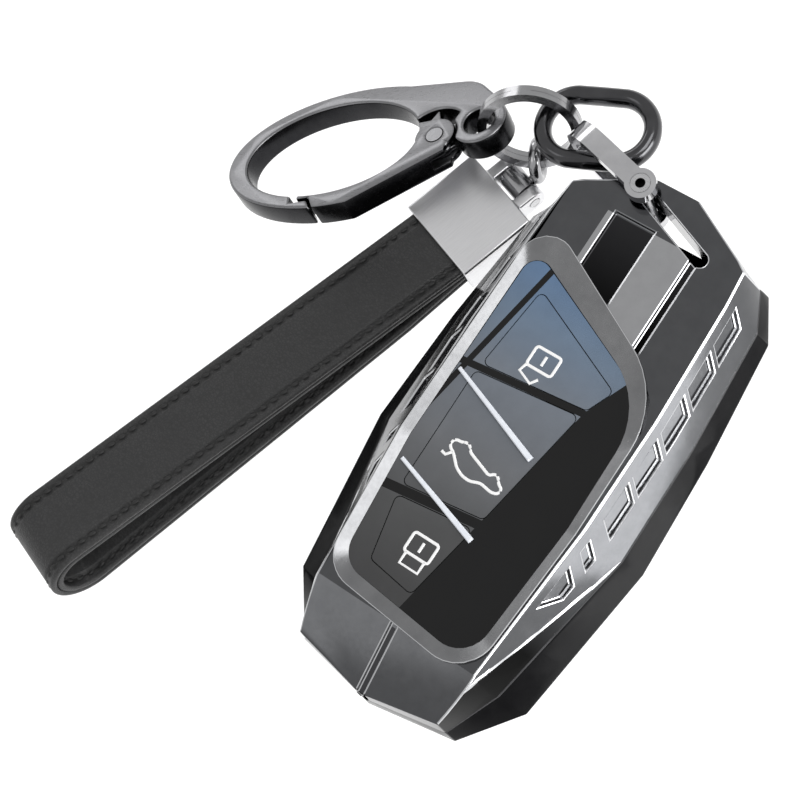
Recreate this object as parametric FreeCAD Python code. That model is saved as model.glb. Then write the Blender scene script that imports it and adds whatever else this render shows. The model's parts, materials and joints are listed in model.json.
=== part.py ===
"""Alloy key fob cover with the key inside, a screw shackle, link rings, a snap ring and a strap."""
import FreeCAD, Part
import os
from math import cos, radians, sin, sqrt, tan

Vec = FreeCAD.Vector

# Cover: heights above the table
BACK_Z = 0.0
RIM_Z = 7.0
SEAM_Z = 10.0
RIDGE_Z = 17.3
COVER_WALL = 1.4
FACE_WALL = 1.3
SHELL_FIT = 0.08
LIP_HEIGHT = 1.8
LIP_WALL = 1.0

# Cover: places along its length, from the shackle end to the pointed end
TOP_FLAT_Y = 44.6
TOP_CORNER_Y = 39.6
SHOULDER_Y = 38.4
UPPER_SIDE_Y = 32.0
CHEST_Y = 12.0
WAIST_Y = -7.0
LOWER_SIDE_Y = -33.0
FOOT_Y = -42.0
TIP_Y = -44.5

# Cover: half widths at those places, at each height
TOP_FLAT_HALF = 3.6
RIM_HALVES = (TOP_FLAT_HALF, 14.2, 17.5, 21.4, 23.4, 24.3, 21.0, 14.2, 0.0)
SEAM_HALVES = (TOP_FLAT_HALF, 13.9, 16.6, 19.8, 21.2, 21.4, 16.9, 13.2, 0.0)
RIDGE_HALVES = (TOP_FLAT_HALF, 13.4, 15.2, 15.7, 16.4, 16.2, 14.3, 12.4, 0.0)
BACK_HALVES = (TOP_FLAT_HALF, 12.0, 15.0, 17.8, 19.6, 20.4, 17.6, 11.4, 0.0)
SEAM_END_INSET = 0.3
RIDGE_END_INSET = 1.0
BACK_END_INSET = 3.2

# Cover: sloped foot panels and their centre groove
FOOT_SLOPE_Y = -32.6
FOOT_SLOPE_DROP = 4.2
FOOT_GROOVE_WIDTH = 1.2
FOOT_GROOVE_DEPTH = 0.6

# Cover: window and its raised bezel
WINDOW_APEX = (-14.2, 26.0)
WINDOW_SHOULDER = (13.9, 13.4)
WINDOW_RIGHT = (14.1, -8.0)
WINDOW_FOOT_RIGHT = (12.3, -32.0)
WINDOW_FOOT_LEFT = (-12.8, -29.4)
WINDOW_LEFT = (-14.6, -8.0)
WINDOW_RADII = (2.6, 6.0, 12.0, 5.0, 4.5, 12.0)
BEZEL_WIDTH = 1.5
BEZEL_HEIGHT = 0.7
BEZEL_CHAMFER = 0.45

# Cover: shackle slot, crossbar and top panels
SLOT_START = (-4.6, 41.0)
SLOT_END = (8.5, 35.9)
SLOT_WIDTH = 2.3
SHACKLE_BAY_Y = 35.2
SHACKLE_BAY_HALF = 16.4
PANEL_DEPTH = 0.6
PANEL_RECESS_LEFT = -6.6
PANEL_RECESS_RIGHT = 0.4
PANEL_RECESS_TOP = 36.4
PANEL_GROOVE_X = 7.2
PANEL_GROOVE_WIDTH = 1.3

# Cover: sunk vents along each side facet
VENT_COUNT = 5
VENT_TOP_Y = 32.4
VENT_PITCH = 7.5
VENT_LENGTH = 6.2
VENT_WIDTH = 2.8
VENT_LEAN = 1.7
VENT_DOWN = 2.0
VENT_DEPTH = 0.9
SMALL_VENT_Y = -7.6
SMALL_VENT_LENGTH = 2.0
WEDGE_VENT_Y = -12.4
WEDGE_VENT_LENGTH = 7.0

# Key inside the cover
KEY_FLOOR_GAP = 0.1
KEY_SHOULDER_GAP = 0.1
KEY_SHELL_WALL = 1.3
KEYPAD_DROP = 0.3
KEYPAD_FIT = 0.25
KEY_TOP_Y = 32.6
KEY_TOP_HALF = 12.4
KEY_UPPER_Y = 26.0
KEY_UPPER_HALF = 14.0
KEY_WAIST_Y = -8.0
KEY_WAIST_HALF = 14.0
KEY_LOWER_Y = -28.0
KEY_LOWER_HALF = 12.2
KEY_FOOT_Y = -32.4
KEY_FOOT_HALF = 9.8
KEY_RIB_WIDTH = 1.6
KEY_RIB_HEIGHT = 4.6
KEY_RIB_GAP = 0.15
KEY_RIB_PLACES = (24.0, -16.0)

# Key buttons, divider bars and the parts under them
UNLOCK_CORNERS = ((-9.6, 20.6), (8.6, 12.6), (6.6, 8.2), (-11.2, 6.4))
TRUNK_CORNERS = ((-11.4, 5.2), (6.3, 7.1), (2.6, -13.2), (-11.3, -15.0))
LOCK_CORNERS = ((-11.0, -16.6), (2.2, -15.0), (-0.4, -28.0), (-8.8, -26.8))
BUTTON_CORNER_RADIUS = 1.0
BUTTON_FIT = 0.15
BUTTON_DROP = 0.05
BUTTON_TRAVEL = 0.5
BUTTON_FLANGE = 0.5
BUTTON_FLANGE_THICK = 0.7
BUTTON_FLANGE_GAP = 0.05
BAR_WIDTH = 0.95
BAR_TIP_WIDTH = 0.6
BAR_HEIGHT = 0.5
UPPER_BAR_START = (-13.6, 4.2)
UPPER_BAR_END = (3.6, -2.1)
LOWER_BAR_START = (-13.3, -11.7)
LOWER_BAR_END = (2.8, -16.7)
SWITCH_SIZE = 3.6
SWITCH_HEIGHT = 1.2
SWITCH_SPARE = 0.1
BOARD_THICK = 1.0
BOARD_FIT = 0.3
CELL_RADIUS = 10.0
CELL_THICK = 3.2
CELL_Y = 4.0
CELL_GAP = 0.1
POST_RADIUS = 1.4
POST_PLACES = ((-9.5, 24.0), (9.5, 24.0), (-8.5, -24.0), (8.5, -24.0))

# Shackle with its screw
SHACKLE_HEADING = 165.5
SHACKLE_BAR = 2.0
SHACKLE_WIDTH = 3.2
SHACKLE_REACH = 9.5
SHACKLE_GAP_UNDER = 0.7
SHACKLE_GAP_OVER = 1.4
SHACKLE_EYE_RADIUS = 2.4
SCREW_RADIUS = 0.8
SCREW_FIT = 0.06
SCREW_HEAD_RADIUS = 1.5
SCREW_HEAD_HEIGHT = 0.8
SCREW_SOCKET_RADIUS = 0.75

# Link ring round the shackle bend
LINK_LENGTH = 20.0
LINK_BREADTH = 13.5
LINK_BAR = 2.8
LINK_HEIGHT = 3.8
LINK_HEADING = 22.5
LINK_BEND_ALONG = -2.4
LINK_BEND_ACROSS = -1.6
LINK_EDGE = 0.8

# Split ring of two flat coils
SPLIT_RADIUS = 7.4
SPLIT_BAR = 1.5
SPLIT_COIL = 1.0
SPLIT_COIL_GAP = 0.06
SPLIT_HEADING = 210.0
SPLIT_LEAN = 20.0
SPLIT_ACROSS_LINK = 1.4
SPLIT_ALONG_LINK = -4.0
SPLIT_CENTRE_Z = 12.4

# Snap ring
SNAP_LENGTH = 43.4
SNAP_BREADTH = 25.0
SNAP_BAR_END = 3.5
SNAP_BAR_SIDE = 2.9
SNAP_THICK = 4.2
SNAP_START = 1.6
SNAP_ACROSS = 0.3
SNAP_HOLE_START = 10.4
SNAP_EYE_RADIUS = 4.6
SNAP_EYE_HOLE = 2.6
SNAP_NECK_RADII = (1.0, 6.0, 3.0, 1.0, 1.0)
SNAP_HEADING = 213.5
SNAP_PITCH = 11.0
SNAP_TILT = 20.0
GATE_PIVOT_ALONG = 7.4
GATE_PIVOT_ACROSS = 1.4
GATE_HUB_RADIUS = 3.4
GATE_PIN_RADIUS = 1.4
GATE_PIN_FIT = 0.05
GATE_TIP_ALONG = 28.0
GATE_ROOT_LENGTH = 2.2
GATE_ROOT_WIDTH = 3.6
GATE_SHOULDER_ALONG = 21.0
GATE_GAP = 0.4
GATE_LAP_LENGTH = 2.2
GATE_LAP_DEPTH = 2.45
GATE_TIP_SLANT = 25.0
GATE_TONGUE_THICK = 1.4
GATE_TONGUE_GAP = 0.15
GATE_HORN_LENGTH = 1.9
GATE_TIP_GAP = 0.9
GATE_HORN_WIDTH = 3.0
GATE_FORK_RADIUS = 4.8
GATE_BAY_RADIUS = 5.6
SPRING_WIRE = 0.5

# Strap clasp with its hinge
HINGE_TO_RING = 4.6
CLASP_SETBACK = 2.7
CLASP_WIDTH = 15.7
CLASP_LENGTH = 13.3
CLASP_HEIGHT = 6.4
CLASP_EDGE = 0.5
STRAP_HEADING = 251.2
EAR_SPACING = 6.9
EAR_WIDTH = 2.0
EAR_RADIUS = 2.1
HINGE_PIN_RADIUS = 0.9
HINGE_PIN_FIT = 0.05
BARREL_SIDE_GAP = 0.2
LINK_EYE_RADIUS = 2.8
LINK_EYE_BAR = 0.95
LINK_NECK_RADIUS = 0.8

# Leather strap
STRAP_WIDTH = 13.5
STRAP_PLY = 1.1
STRAP_TUCK = 9.0
STRAP_LENGTH = 81.5
STRAP_LOOP_HEIGHT = 13.6
STRAP_FLAT_START = 12.0
STRAP_FIT = 0.08

# Heights that follow from the sizes above
KEYPAD_Z = RIDGE_Z - KEYPAD_DROP
KEY_SHOULDER_Z = RIDGE_Z - FACE_WALL - KEY_SHOULDER_GAP
KEY_ROOF_Z = KEY_SHOULDER_Z - KEY_SHELL_WALL
KEY_BOTTOM_Z = BACK_Z + COVER_WALL + KEY_FLOOR_GAP
FLANGE_TOP_Z = KEY_ROOF_Z - BUTTON_FLANGE_GAP
FLANGE_FOOT_Z = FLANGE_TOP_Z - BUTTON_FLANGE_THICK
SWITCH_TOP_Z = FLANGE_FOOT_Z - BUTTON_TRAVEL - SWITCH_SPARE
BOARD_TOP_Z = SWITCH_TOP_Z - SWITCH_HEIGHT
BOARD_FOOT_Z = BOARD_TOP_Z - BOARD_THICK
KEY_SEAM_Z = BOARD_FOOT_Z - CELL_GAP - CELL_THICK
SHACKLE_MID_Z = (SEAM_Z - SHACKLE_GAP_UNDER + RIDGE_Z + SHACKLE_GAP_OVER) / 2
SHACKLE_BEND = (RIDGE_Z + SHACKLE_GAP_OVER - SEAM_Z + SHACKLE_GAP_UNDER + SHACKLE_BAR) / 2
STRAP_THICK = 2 * STRAP_PLY
HINGE_Z = CLASP_HEIGHT / 2

STATIONS = (TOP_FLAT_Y, TOP_CORNER_Y, SHOULDER_Y, UPPER_SIDE_Y, CHEST_Y,
            WAIST_Y, LOWER_SIDE_Y, FOOT_Y, TIP_Y)
FAR = 200.0
UP = Vec(0, 0, 1)


def flat_heading(angle):
    """Level unit vector at an angle from +X."""
    return Vec(cos(radians(angle)), sin(radians(angle)), 0)


def closed_wire(points, z=0.0):
    """Closed polygon through flat points at one height."""
    corners = [Vec(x, y, z) for x, y in points]
    return Part.makePolygon(corners + corners[:1])


def rounded_wire(points, radii, z=0.0):
    """Closed polygon with an arc of its own radius at each corner."""
    edges = []
    starts = []
    ends = []
    mids = []
    count = len(points)
    for i in range(count):
        corner = Vec(*points[i], z)
        back = (Vec(*points[i - 1], z) - corner).normalize()
        ahead = (Vec(*points[(i + 1) % count], z) - corner).normalize()
        half = back.getAngle(ahead) / 2
        reach = radii[i] / (sin(half) / cos(half))
        inward = (back + ahead).normalize()
        starts.append(corner + back * reach)
        ends.append(corner + ahead * reach)
        mids.append(corner + inward * (radii[i] / sin(half) - radii[i]))
    for i in range(count):
        edges.append(Part.Arc(starts[i], mids[i], ends[i]).toShape())
        edges.append(Part.makeLine(ends[i], starts[(i + 1) % count]))
    return Part.Wire(edges)


def prism(wire, height):
    """Upright solid on a closed wire."""
    return Part.Face(wire).extrude(Vec(0, 0, height))


def grown(wire, distance):
    """Wire moved outwards, or inwards for a negative distance, with its corners kept."""
    return wire.makeOffset2D(distance, 2)


def at_height(wire, z):
    """Copy of a level wire at another height."""
    copy = wire.copy()
    copy.translate(Vec(0, 0, z - wire.BoundBox.ZMin))
    return copy


def loft(lower, upper):
    """Solid with flat facets between two outlines."""
    return Part.makeLoft([lower, upper], True, True)


def block(x0, x1, y0, y1, z0, z1):
    """Box between two corners."""
    return Part.makeBox(x1 - x0, y1 - y0, z1 - z0, Vec(x0, y0, z0))


def rod(start, end, radius):
    """Round bar between two points."""
    axis = end - start
    return Part.makeCylinder(radius, axis.Length, start, axis)


def placed(shape, along, across, up, origin):
    """Copy of a shape set in a frame given by its three directions and its origin."""
    frame = FreeCAD.Matrix(along.x, across.x, up.x, origin.x,
                           along.y, across.y, up.y, origin.y,
                           along.z, across.z, up.z, origin.z,
                           0, 0, 0, 1)
    copy = shape.copy()
    copy.Placement = FreeCAD.Placement(frame)
    return copy


def cover_outline(halves, end_inset, z):
    """Outline of the cover at one height, its two ends drawn in by an inset."""
    right = []
    for y, half in zip(STATIONS, halves):
        if y > UPPER_SIDE_Y:
            y = y - end_inset
        if y < LOWER_SIDE_Y:
            y = y + end_inset
        right.append((half, y))
    left = [(-x, y) for x, y in reversed(right) if x > 0]
    return closed_wire(right + left, z)


RIM_WIRE = cover_outline(RIM_HALVES, 0.0, RIM_Z)
SEAM_WIRE = cover_outline(SEAM_HALVES, SEAM_END_INSET, SEAM_Z)
RIDGE_WIRE = cover_outline(RIDGE_HALVES, RIDGE_END_INSET, RIDGE_Z)
BACK_WIRE = cover_outline(BACK_HALVES, BACK_END_INSET, BACK_Z)
WINDOW_WIRE = rounded_wire(
    (WINDOW_APEX, WINDOW_SHOULDER, WINDOW_RIGHT, WINDOW_FOOT_RIGHT, WINDOW_FOOT_LEFT, WINDOW_LEFT),
    WINDOW_RADII)


def foot_wedge(lowered):
    """Everything above the sloped foot, with the slope lowered by a wall."""
    slope = FOOT_SLOPE_DROP / (FOOT_SLOPE_Y - TIP_Y)
    end_y = TIP_Y - COVER_WALL
    high = RIDGE_Z - lowered
    low = high - slope * (FOOT_SLOPE_Y - end_y)
    corners = [Vec(-FAR, FOOT_SLOPE_Y, high), Vec(-FAR, end_y, low),
               Vec(-FAR, end_y, high + FAR), Vec(-FAR, FOOT_SLOPE_Y, high + FAR)]
    face = Part.Face(Part.makePolygon(corners + corners[:1]))
    return face.extrude(Vec(2 * FAR, 0, 0))


def slot_tool():
    """Slanted slot with round ends that the shackle's screw passes through."""
    foot = BACK_Z - COVER_WALL
    start = Vec(*SLOT_START, foot)
    end = Vec(*SLOT_END, foot)
    side = Vec(start.y - end.y, end.x - start.x, 0).normalize() * (SLOT_WIDTH / 2)
    corners = [start + side, start - side, end - side, end + side]
    slot = Part.Face(Part.makePolygon(corners + corners[:1])).extrude(UP * FAR)
    for point in (start, end):
        slot = slot.fuse(rod(point, point + UP * FAR, SLOT_WIDTH / 2))
    return slot


def half_at(halves, y):
    """Half width of the cover at a place along its length."""
    for i in range(len(STATIONS) - 1):
        upper, lower = STATIONS[i], STATIONS[i + 1]
        if lower <= y <= upper:
            share = (upper - y) / (upper - lower)
            return halves[i] + (halves[i + 1] - halves[i]) * share
    return 0.0


def vent_tool(top_y, length, lower_length):
    """Sunk panel on the right side facet: a slanted outline pushed in square to the facet."""
    end_y = top_y - VENT_LEAN - lower_length
    ridge_top = half_at(RIDGE_HALVES, top_y)
    ridge_turn = (half_at(RIDGE_HALVES, end_y) - ridge_top) / (end_y - top_y)
    middle_y = (top_y + end_y) / 2
    rise = RIDGE_Z - SEAM_Z
    run = half_at(SEAM_HALVES, middle_y) - half_at(RIDGE_HALVES, middle_y)
    down = Vec(run, 0, -rise).normalize()
    out = Vec(rise, 0, run).normalize()
    outline = [(top_y, VENT_DOWN), (top_y - VENT_LEAN, VENT_DOWN + VENT_WIDTH),
               (end_y, VENT_DOWN + VENT_WIDTH), (top_y - length, VENT_DOWN)]
    corners = []
    for y, fall in outline:
        ridge = Vec(ridge_top + ridge_turn * (y - top_y), y, RIDGE_Z)
        corners.append(ridge + down * fall - out * VENT_DEPTH)
    face = Part.Face(Part.makePolygon(corners + corners[:1]))
    return face.extrude(out * (3 * VENT_DEPTH))


def panel_tools():
    """Sunk centre panel and slim groove between the window bezel and the slot."""
    roof = RIDGE_Z - PANEL_DEPTH
    foot_y = WINDOW_SHOULDER[1]
    mouth = RIDGE_Z + PANEL_DEPTH
    recess = block(PANEL_RECESS_LEFT, PANEL_RECESS_RIGHT, foot_y, PANEL_RECESS_TOP, roof, mouth)
    groove_end = PANEL_GROOVE_X + PANEL_GROOVE_WIDTH
    groove = block(PANEL_GROOVE_X, groove_end, foot_y, PANEL_RECESS_TOP, roof, mouth)
    bezel_foot = prism(at_height(grown(WINDOW_WIRE, BEZEL_WIDTH), BACK_Z), FAR)
    return [recess.cut(bezel_foot), groove.cut(bezel_foot)]


def front_cover():
    """Alloy front: faceted shell, sloped foot, bezelled window, slot, sunk panels and vents."""
    outer = loft(SEAM_WIRE, RIDGE_WIRE).cut(foot_wedge(0.0))
    ceiling = at_height(grown(RIDGE_WIRE, -COVER_WALL), RIDGE_Z - FACE_WALL)
    inner = loft(grown(SEAM_WIRE, -COVER_WALL), ceiling).cut(foot_wedge(FACE_WALL))
    end_block = block(-FAR, FAR, SHACKLE_BAY_Y - COVER_WALL, FAR, BACK_Z, FAR)
    shell = outer.cut(inner.cut(end_block))
    bezel_wire = at_height(grown(WINDOW_WIRE, BEZEL_WIDTH), RIDGE_Z - FACE_WALL)
    bezel = prism(bezel_wire, FACE_WALL + BEZEL_HEIGHT)
    top_edges = [e for e in bezel.Edges if e.BoundBox.ZMin > RIDGE_Z + BEZEL_HEIGHT / 2]
    bezel = bezel.makeChamfer(BEZEL_CHAMFER, top_edges)
    shell = shell.fuse(bezel).cut(prism(at_height(WINDOW_WIRE, BACK_Z), FAR))
    groove = block(-FOOT_GROOVE_WIDTH / 2, FOOT_GROOVE_WIDTH / 2, TIP_Y, FOOT_SLOPE_Y, BACK_Z, FAR)
    groove = groove.common(outer).cut(outer.translated(Vec(0, 0, -FOOT_GROOVE_DEPTH)))
    tools = [slot_tool(), groove] + panel_tools()
    vents = [vent_tool(VENT_TOP_Y - VENT_PITCH * i, VENT_LENGTH, VENT_LENGTH) for i in range(VENT_COUNT)]
    vents.append(vent_tool(SMALL_VENT_Y, SMALL_VENT_LENGTH, SMALL_VENT_LENGTH))
    vents.append(vent_tool(WEDGE_VENT_Y, WEDGE_VENT_LENGTH, WEDGE_VENT_LENGTH / 3))
    for vent in vents:
        tools.append(vent)
        tools.append(vent.mirror(Vec(0, 0, 0), Vec(1, 0, 0)))
    for tool in tools:
        shell = shell.cut(tool)
    return shell.removeSplitter()


def key_wire(z):
    """Outline of the key body at one height."""
    right = [(KEY_TOP_HALF, KEY_TOP_Y), (KEY_UPPER_HALF, KEY_UPPER_Y), (KEY_WAIST_HALF, KEY_WAIST_Y),
             (KEY_LOWER_HALF, KEY_LOWER_Y), (KEY_FOOT_HALF, KEY_FOOT_Y)]
    left = [(-x, y) for x, y in reversed(right)]
    return closed_wire(right + left, z)


def rear_cover():
    """Gloss rear shell: rim band, inner lip, open bay under the crossbar and ribs that hold the key."""
    outer = loft(BACK_WIRE, RIM_WIRE).fuse(loft(RIM_WIRE, SEAM_WIRE))
    ledge = COVER_WALL + SHELL_FIT + LIP_WALL
    floor_wire = at_height(grown(BACK_WIRE, -COVER_WALL), BACK_Z + COVER_WALL)
    mid_wire = grown(RIM_WIRE, -ledge)
    mouth_wire = grown(SEAM_WIRE, -ledge)
    end_wall = block(-FAR, FAR, SHACKLE_BAY_Y - COVER_WALL, FAR, BACK_Z, FAR)
    inner = loft(floor_wire, mid_wire).fuse(loft(mid_wire, mouth_wire)).cut(end_wall)
    ceiling = at_height(grown(RIDGE_WIRE, -COVER_WALL), RIDGE_Z - FACE_WALL)
    lip = loft(grown(SEAM_WIRE, -COVER_WALL - SHELL_FIT), grown(ceiling, -SHELL_FIT))
    lip = lip.cut(loft(mouth_wire, grown(ceiling, -SHELL_FIT - LIP_WALL)))
    lip_end = SHACKLE_BAY_Y - COVER_WALL - SHELL_FIT
    lip = lip.common(block(-FAR, FAR, -FAR, lip_end, SEAM_Z, SEAM_Z + LIP_HEIGHT))
    shell = outer.cut(inner).fuse(lip)
    bay = block(-SHACKLE_BAY_HALF, SHACKLE_BAY_HALF, SHACKLE_BAY_Y, FAR, BACK_Z - COVER_WALL, FAR)
    shell = shell.cut(bay)
    rib_top = BACK_Z + COVER_WALL + KEY_RIB_HEIGHT
    for y in KEY_RIB_PLACES:
        start = key_half_at(y) + KEY_RIB_GAP
        rib_start = y - KEY_RIB_WIDTH / 2
        rib = block(start, FAR, rib_start, rib_start + KEY_RIB_WIDTH, BACK_Z, rib_top).common(outer)
        shell = shell.fuse(rib).fuse(rib.mirror(Vec(0, 0, 0), Vec(1, 0, 0)))
    return shell.removeSplitter()


def key_half_at(y):
    """Half width of the key body at a place between its upper end and its foot."""
    places = ((KEY_UPPER_Y, KEY_UPPER_HALF), (KEY_WAIST_Y, KEY_WAIST_HALF),
              (KEY_LOWER_Y, KEY_LOWER_HALF))
    for (upper_y, upper), (lower_y, lower) in zip(places, places[1:]):
        if lower_y <= y <= upper_y:
            return upper + (lower - upper) * (upper_y - y) / (upper_y - lower_y)
    return KEY_UPPER_HALF


def button_wire(corners, z):
    """Rounded outline of one button opening."""
    return rounded_wire(corners, [BUTTON_CORNER_RADIUS] * len(corners), z)


def key_front_shell():
    """Upper half of the key: keypad that fills the window, hollow below, with three button openings."""
    body = prism(key_wire(KEY_SEAM_Z), KEY_SHOULDER_Z - KEY_SEAM_Z)
    pad_foot = KEY_SHOULDER_Z - KEY_SHELL_WALL / 2
    pad = prism(at_height(grown(WINDOW_WIRE, -KEYPAD_FIT), pad_foot), KEYPAD_Z - pad_foot)
    hollow = prism(grown(key_wire(KEY_SEAM_Z), -KEY_SHELL_WALL), KEY_ROOF_Z - KEY_SEAM_Z)
    shell = body.fuse(pad).cut(hollow)
    for corners in (UNLOCK_CORNERS, TRUNK_CORNERS, LOCK_CORNERS):
        shell = shell.cut(prism(button_wire(corners, KEY_SEAM_Z), FAR))
    return shell.removeSplitter()


def key_rear_shell():
    """Lower half of the key, solid under the coin cell, with posts that carry the circuit board."""
    shell = prism(key_wire(KEY_BOTTOM_Z), KEY_SEAM_Z - KEY_BOTTOM_Z)
    for x, y in POST_PLACES:
        shell = shell.fuse(rod(Vec(x, y, KEY_SEAM_Z), Vec(x, y, BOARD_FOOT_Z), POST_RADIUS))
    return shell.removeSplitter()


def key_button(corners):
    """Button cap with a flange that stops it under the keypad."""
    cap_height = KEYPAD_Z - BUTTON_DROP - FLANGE_FOOT_Z
    cap = prism(grown(button_wire(corners, FLANGE_FOOT_Z), -BUTTON_FIT), cap_height)
    flange = prism(grown(button_wire(corners, FLANGE_FOOT_Z), BUTTON_FLANGE), BUTTON_FLANGE_THICK)
    return cap.fuse(flange).removeSplitter()


def divider_bar(start, end):
    """Slim bright bar, tapered to its lower end, that lies across the keypad."""
    along = Vec(*end, 0) - Vec(*start, 0)
    across = Vec(-along.y, along.x, 0).normalize()
    wide = across * (BAR_WIDTH / 2)
    slim = across * (BAR_TIP_WIDTH / 2)
    base = Vec(*start, KEYPAD_Z)
    tip = Vec(*end, KEYPAD_Z)
    corners = [base + slim, base - slim, tip - wide, tip + wide]
    bar = Part.Face(Part.makePolygon(corners + corners[:1])).extrude(Vec(0, 0, BAR_HEIGHT))
    top_edges = [e for e in bar.Edges if e.BoundBox.ZMin > KEYPAD_Z + BAR_HEIGHT / 2]
    return bar.makeChamfer(BAR_TIP_WIDTH / 4, top_edges)


def circuit_board():
    """Board on the posts, cut to the inside of the key."""
    wire = grown(key_wire(BOARD_FOOT_Z), -KEY_SHELL_WALL - BOARD_FIT)
    return prism(wire, BOARD_THICK)


def button_centre(corners):
    """Middle of a button outline."""
    x = sum(c[0] for c in corners) / len(corners)
    y = sum(c[1] for c in corners) / len(corners)
    return x, y


def tact_switches():
    """One switch under the middle of each button."""
    switches = []
    half = SWITCH_SIZE / 2
    for corners in (UNLOCK_CORNERS, TRUNK_CORNERS, LOCK_CORNERS):
        x, y = button_centre(corners)
        switches.append(block(x - half, x + half, y - half, y + half, BOARD_TOP_Z, SWITCH_TOP_Z))
    return Part.makeCompound(switches)


def coin_cell():
    """Battery on the rear shell, under the board."""
    return Part.makeCylinder(CELL_RADIUS, CELL_THICK, Vec(0, CELL_Y, KEY_SEAM_Z))


# Frames of the chain, each set on the piece before it
SHACKLE_ALONG = flat_heading(SHACKLE_HEADING)
SHACKLE_ACROSS = flat_heading(SHACKLE_HEADING + 90)
SHACKLE_ORIGIN = Vec(*SLOT_START, SHACKLE_MID_Z)
BEND_POINT = SHACKLE_ORIGIN + SHACKLE_ALONG * (SHACKLE_REACH + SHACKLE_BEND)
LINK_ALONG = flat_heading(LINK_HEADING)
LINK_ACROSS = flat_heading(LINK_HEADING + 90)
LINK_ORIGIN = BEND_POINT - LINK_ALONG * LINK_BEND_ALONG - LINK_ACROSS * LINK_BEND_ACROSS
SPLIT_ALONG = flat_heading(SPLIT_HEADING)
SPLIT_BACK = flat_heading(SPLIT_HEADING - 90)
SPLIT_UP = SPLIT_BACK * sin(radians(SPLIT_LEAN)) + UP * cos(radians(SPLIT_LEAN))
SPLIT_AXIS = SPLIT_ALONG.cross(SPLIT_UP)
SPLIT_CROSSING = LINK_ORIGIN + LINK_ALONG * SPLIT_ALONG_LINK + LINK_ACROSS * SPLIT_ACROSS_LINK
CROSSING_RISE = (SHACKLE_MID_Z - SPLIT_CENTRE_Z) / (SPLIT_RADIUS * cos(radians(SPLIT_LEAN)))
SPLIT_ORIGIN = (SPLIT_CROSSING + SPLIT_ALONG * (SPLIT_RADIUS * sqrt(1 - CROSSING_RISE ** 2))
                - SPLIT_UP * (SPLIT_RADIUS * CROSSING_RISE))
SNAP_ORIGIN = SPLIT_ORIGIN + SPLIT_ALONG * SPLIT_RADIUS
SNAP_LEVEL = flat_heading(SNAP_HEADING)
SNAP_SIDE = flat_heading(SNAP_HEADING + 90)
SNAP_ALONG = SNAP_LEVEL * cos(radians(SNAP_PITCH)) - UP * sin(radians(SNAP_PITCH))
SNAP_RISE = SNAP_ALONG.cross(SNAP_SIDE)
SNAP_ACROSS_DIR = SNAP_SIDE * cos(radians(SNAP_TILT)) + SNAP_RISE * sin(radians(SNAP_TILT))
SNAP_UP = SNAP_ALONG.cross(SNAP_ACROSS_DIR)
RING_FOOT = SPLIT_ORIGIN - SPLIT_UP * SPLIT_RADIUS
STRAP_ALONG = flat_heading(STRAP_HEADING)
STRAP_ACROSS = flat_heading(STRAP_HEADING + 90)
HINGE_POINT = Vec(RING_FOOT.x, RING_FOOT.y, HINGE_Z) + STRAP_ALONG * HINGE_TO_RING


def in_shackle(shape):
    """Set a shape in the shackle's frame: its screw at the origin, its bend along +X."""
    return placed(shape, SHACKLE_ALONG, SHACKLE_ACROSS, UP, SHACKLE_ORIGIN)


def in_link(shape):
    """Set a shape in the link ring's frame, long side along X."""
    return placed(shape, LINK_ALONG, LINK_ACROSS, UP, LINK_ORIGIN)


def in_snap(shape):
    """Set a shape in the snap ring's frame: its eye at the origin, its far end along +X."""
    return placed(shape, SNAP_ALONG, SNAP_ACROSS_DIR, SNAP_UP, SNAP_ORIGIN)


def in_strap(shape):
    """Set a shape in the strap's frame: the hinge over the origin, the strap along +X."""
    return placed(shape, STRAP_ALONG, STRAP_ACROSS, UP, Vec(HINGE_POINT.x, HINGE_POINT.y, 0))


def shackle():
    """Flat bar bent to a U, with a round eye at each end of its arms."""
    half = SHACKLE_WIDTH / 2
    inside = SHACKLE_BEND - SHACKLE_BAR / 2
    top = SHACKLE_BEND + SHACKLE_BAR / 2
    bend_start = Vec(SHACKLE_REACH, -half, 0)
    bend_end = Vec(SHACKLE_REACH, half, 0)
    bend = rod(bend_start, bend_end, top).cut(rod(bend_start, bend_end, inside))
    solid = bend.common(block(SHACKLE_REACH, FAR, -FAR, FAR, -FAR, FAR))
    for foot in (inside, -top):
        solid = solid.fuse(block(0, SHACKLE_REACH, -half, half, foot, foot + SHACKLE_BAR))
        solid = solid.fuse(rod(UP * foot, UP * (foot + SHACKLE_BAR), SHACKLE_EYE_RADIUS))
    solid = solid.cut(rod(UP * -FAR, UP * FAR, SCREW_RADIUS + SCREW_FIT))
    head_seat = rod(UP * (top - SCREW_HEAD_HEIGHT), UP * FAR, SCREW_HEAD_RADIUS + SCREW_FIT)
    return in_shackle(solid.cut(head_seat).removeSplitter())


def shackle_screw():
    """Socket screw that closes the shackle, its head sunk in the upper eye."""
    top = SHACKLE_BEND + SHACKLE_BAR / 2
    screw = rod(UP * -top, UP * top, SCREW_RADIUS)
    screw = screw.fuse(rod(UP * (top - SCREW_HEAD_HEIGHT), UP * top, SCREW_HEAD_RADIUS))
    socket = Part.makePolygon([Vec(SCREW_SOCKET_RADIUS * cos(radians(60 * i)),
                                   SCREW_SOCKET_RADIUS * sin(radians(60 * i)), top) for i in range(7)])
    screw = screw.cut(Part.Face(socket).extrude(Vec(0, 0, -SCREW_HEAD_HEIGHT)))
    return in_shackle(screw)


def stadium(length, breadth, z, height):
    """Upright solid with two straight sides and round ends."""
    radius = breadth / 2
    half = length / 2 - radius
    body = block(-half, half, -radius, radius, z, z + height)
    for x in (-half, half):
        body = body.fuse(rod(Vec(x, 0, z), Vec(x, 0, z + height), radius))
    return body.removeSplitter()


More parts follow.
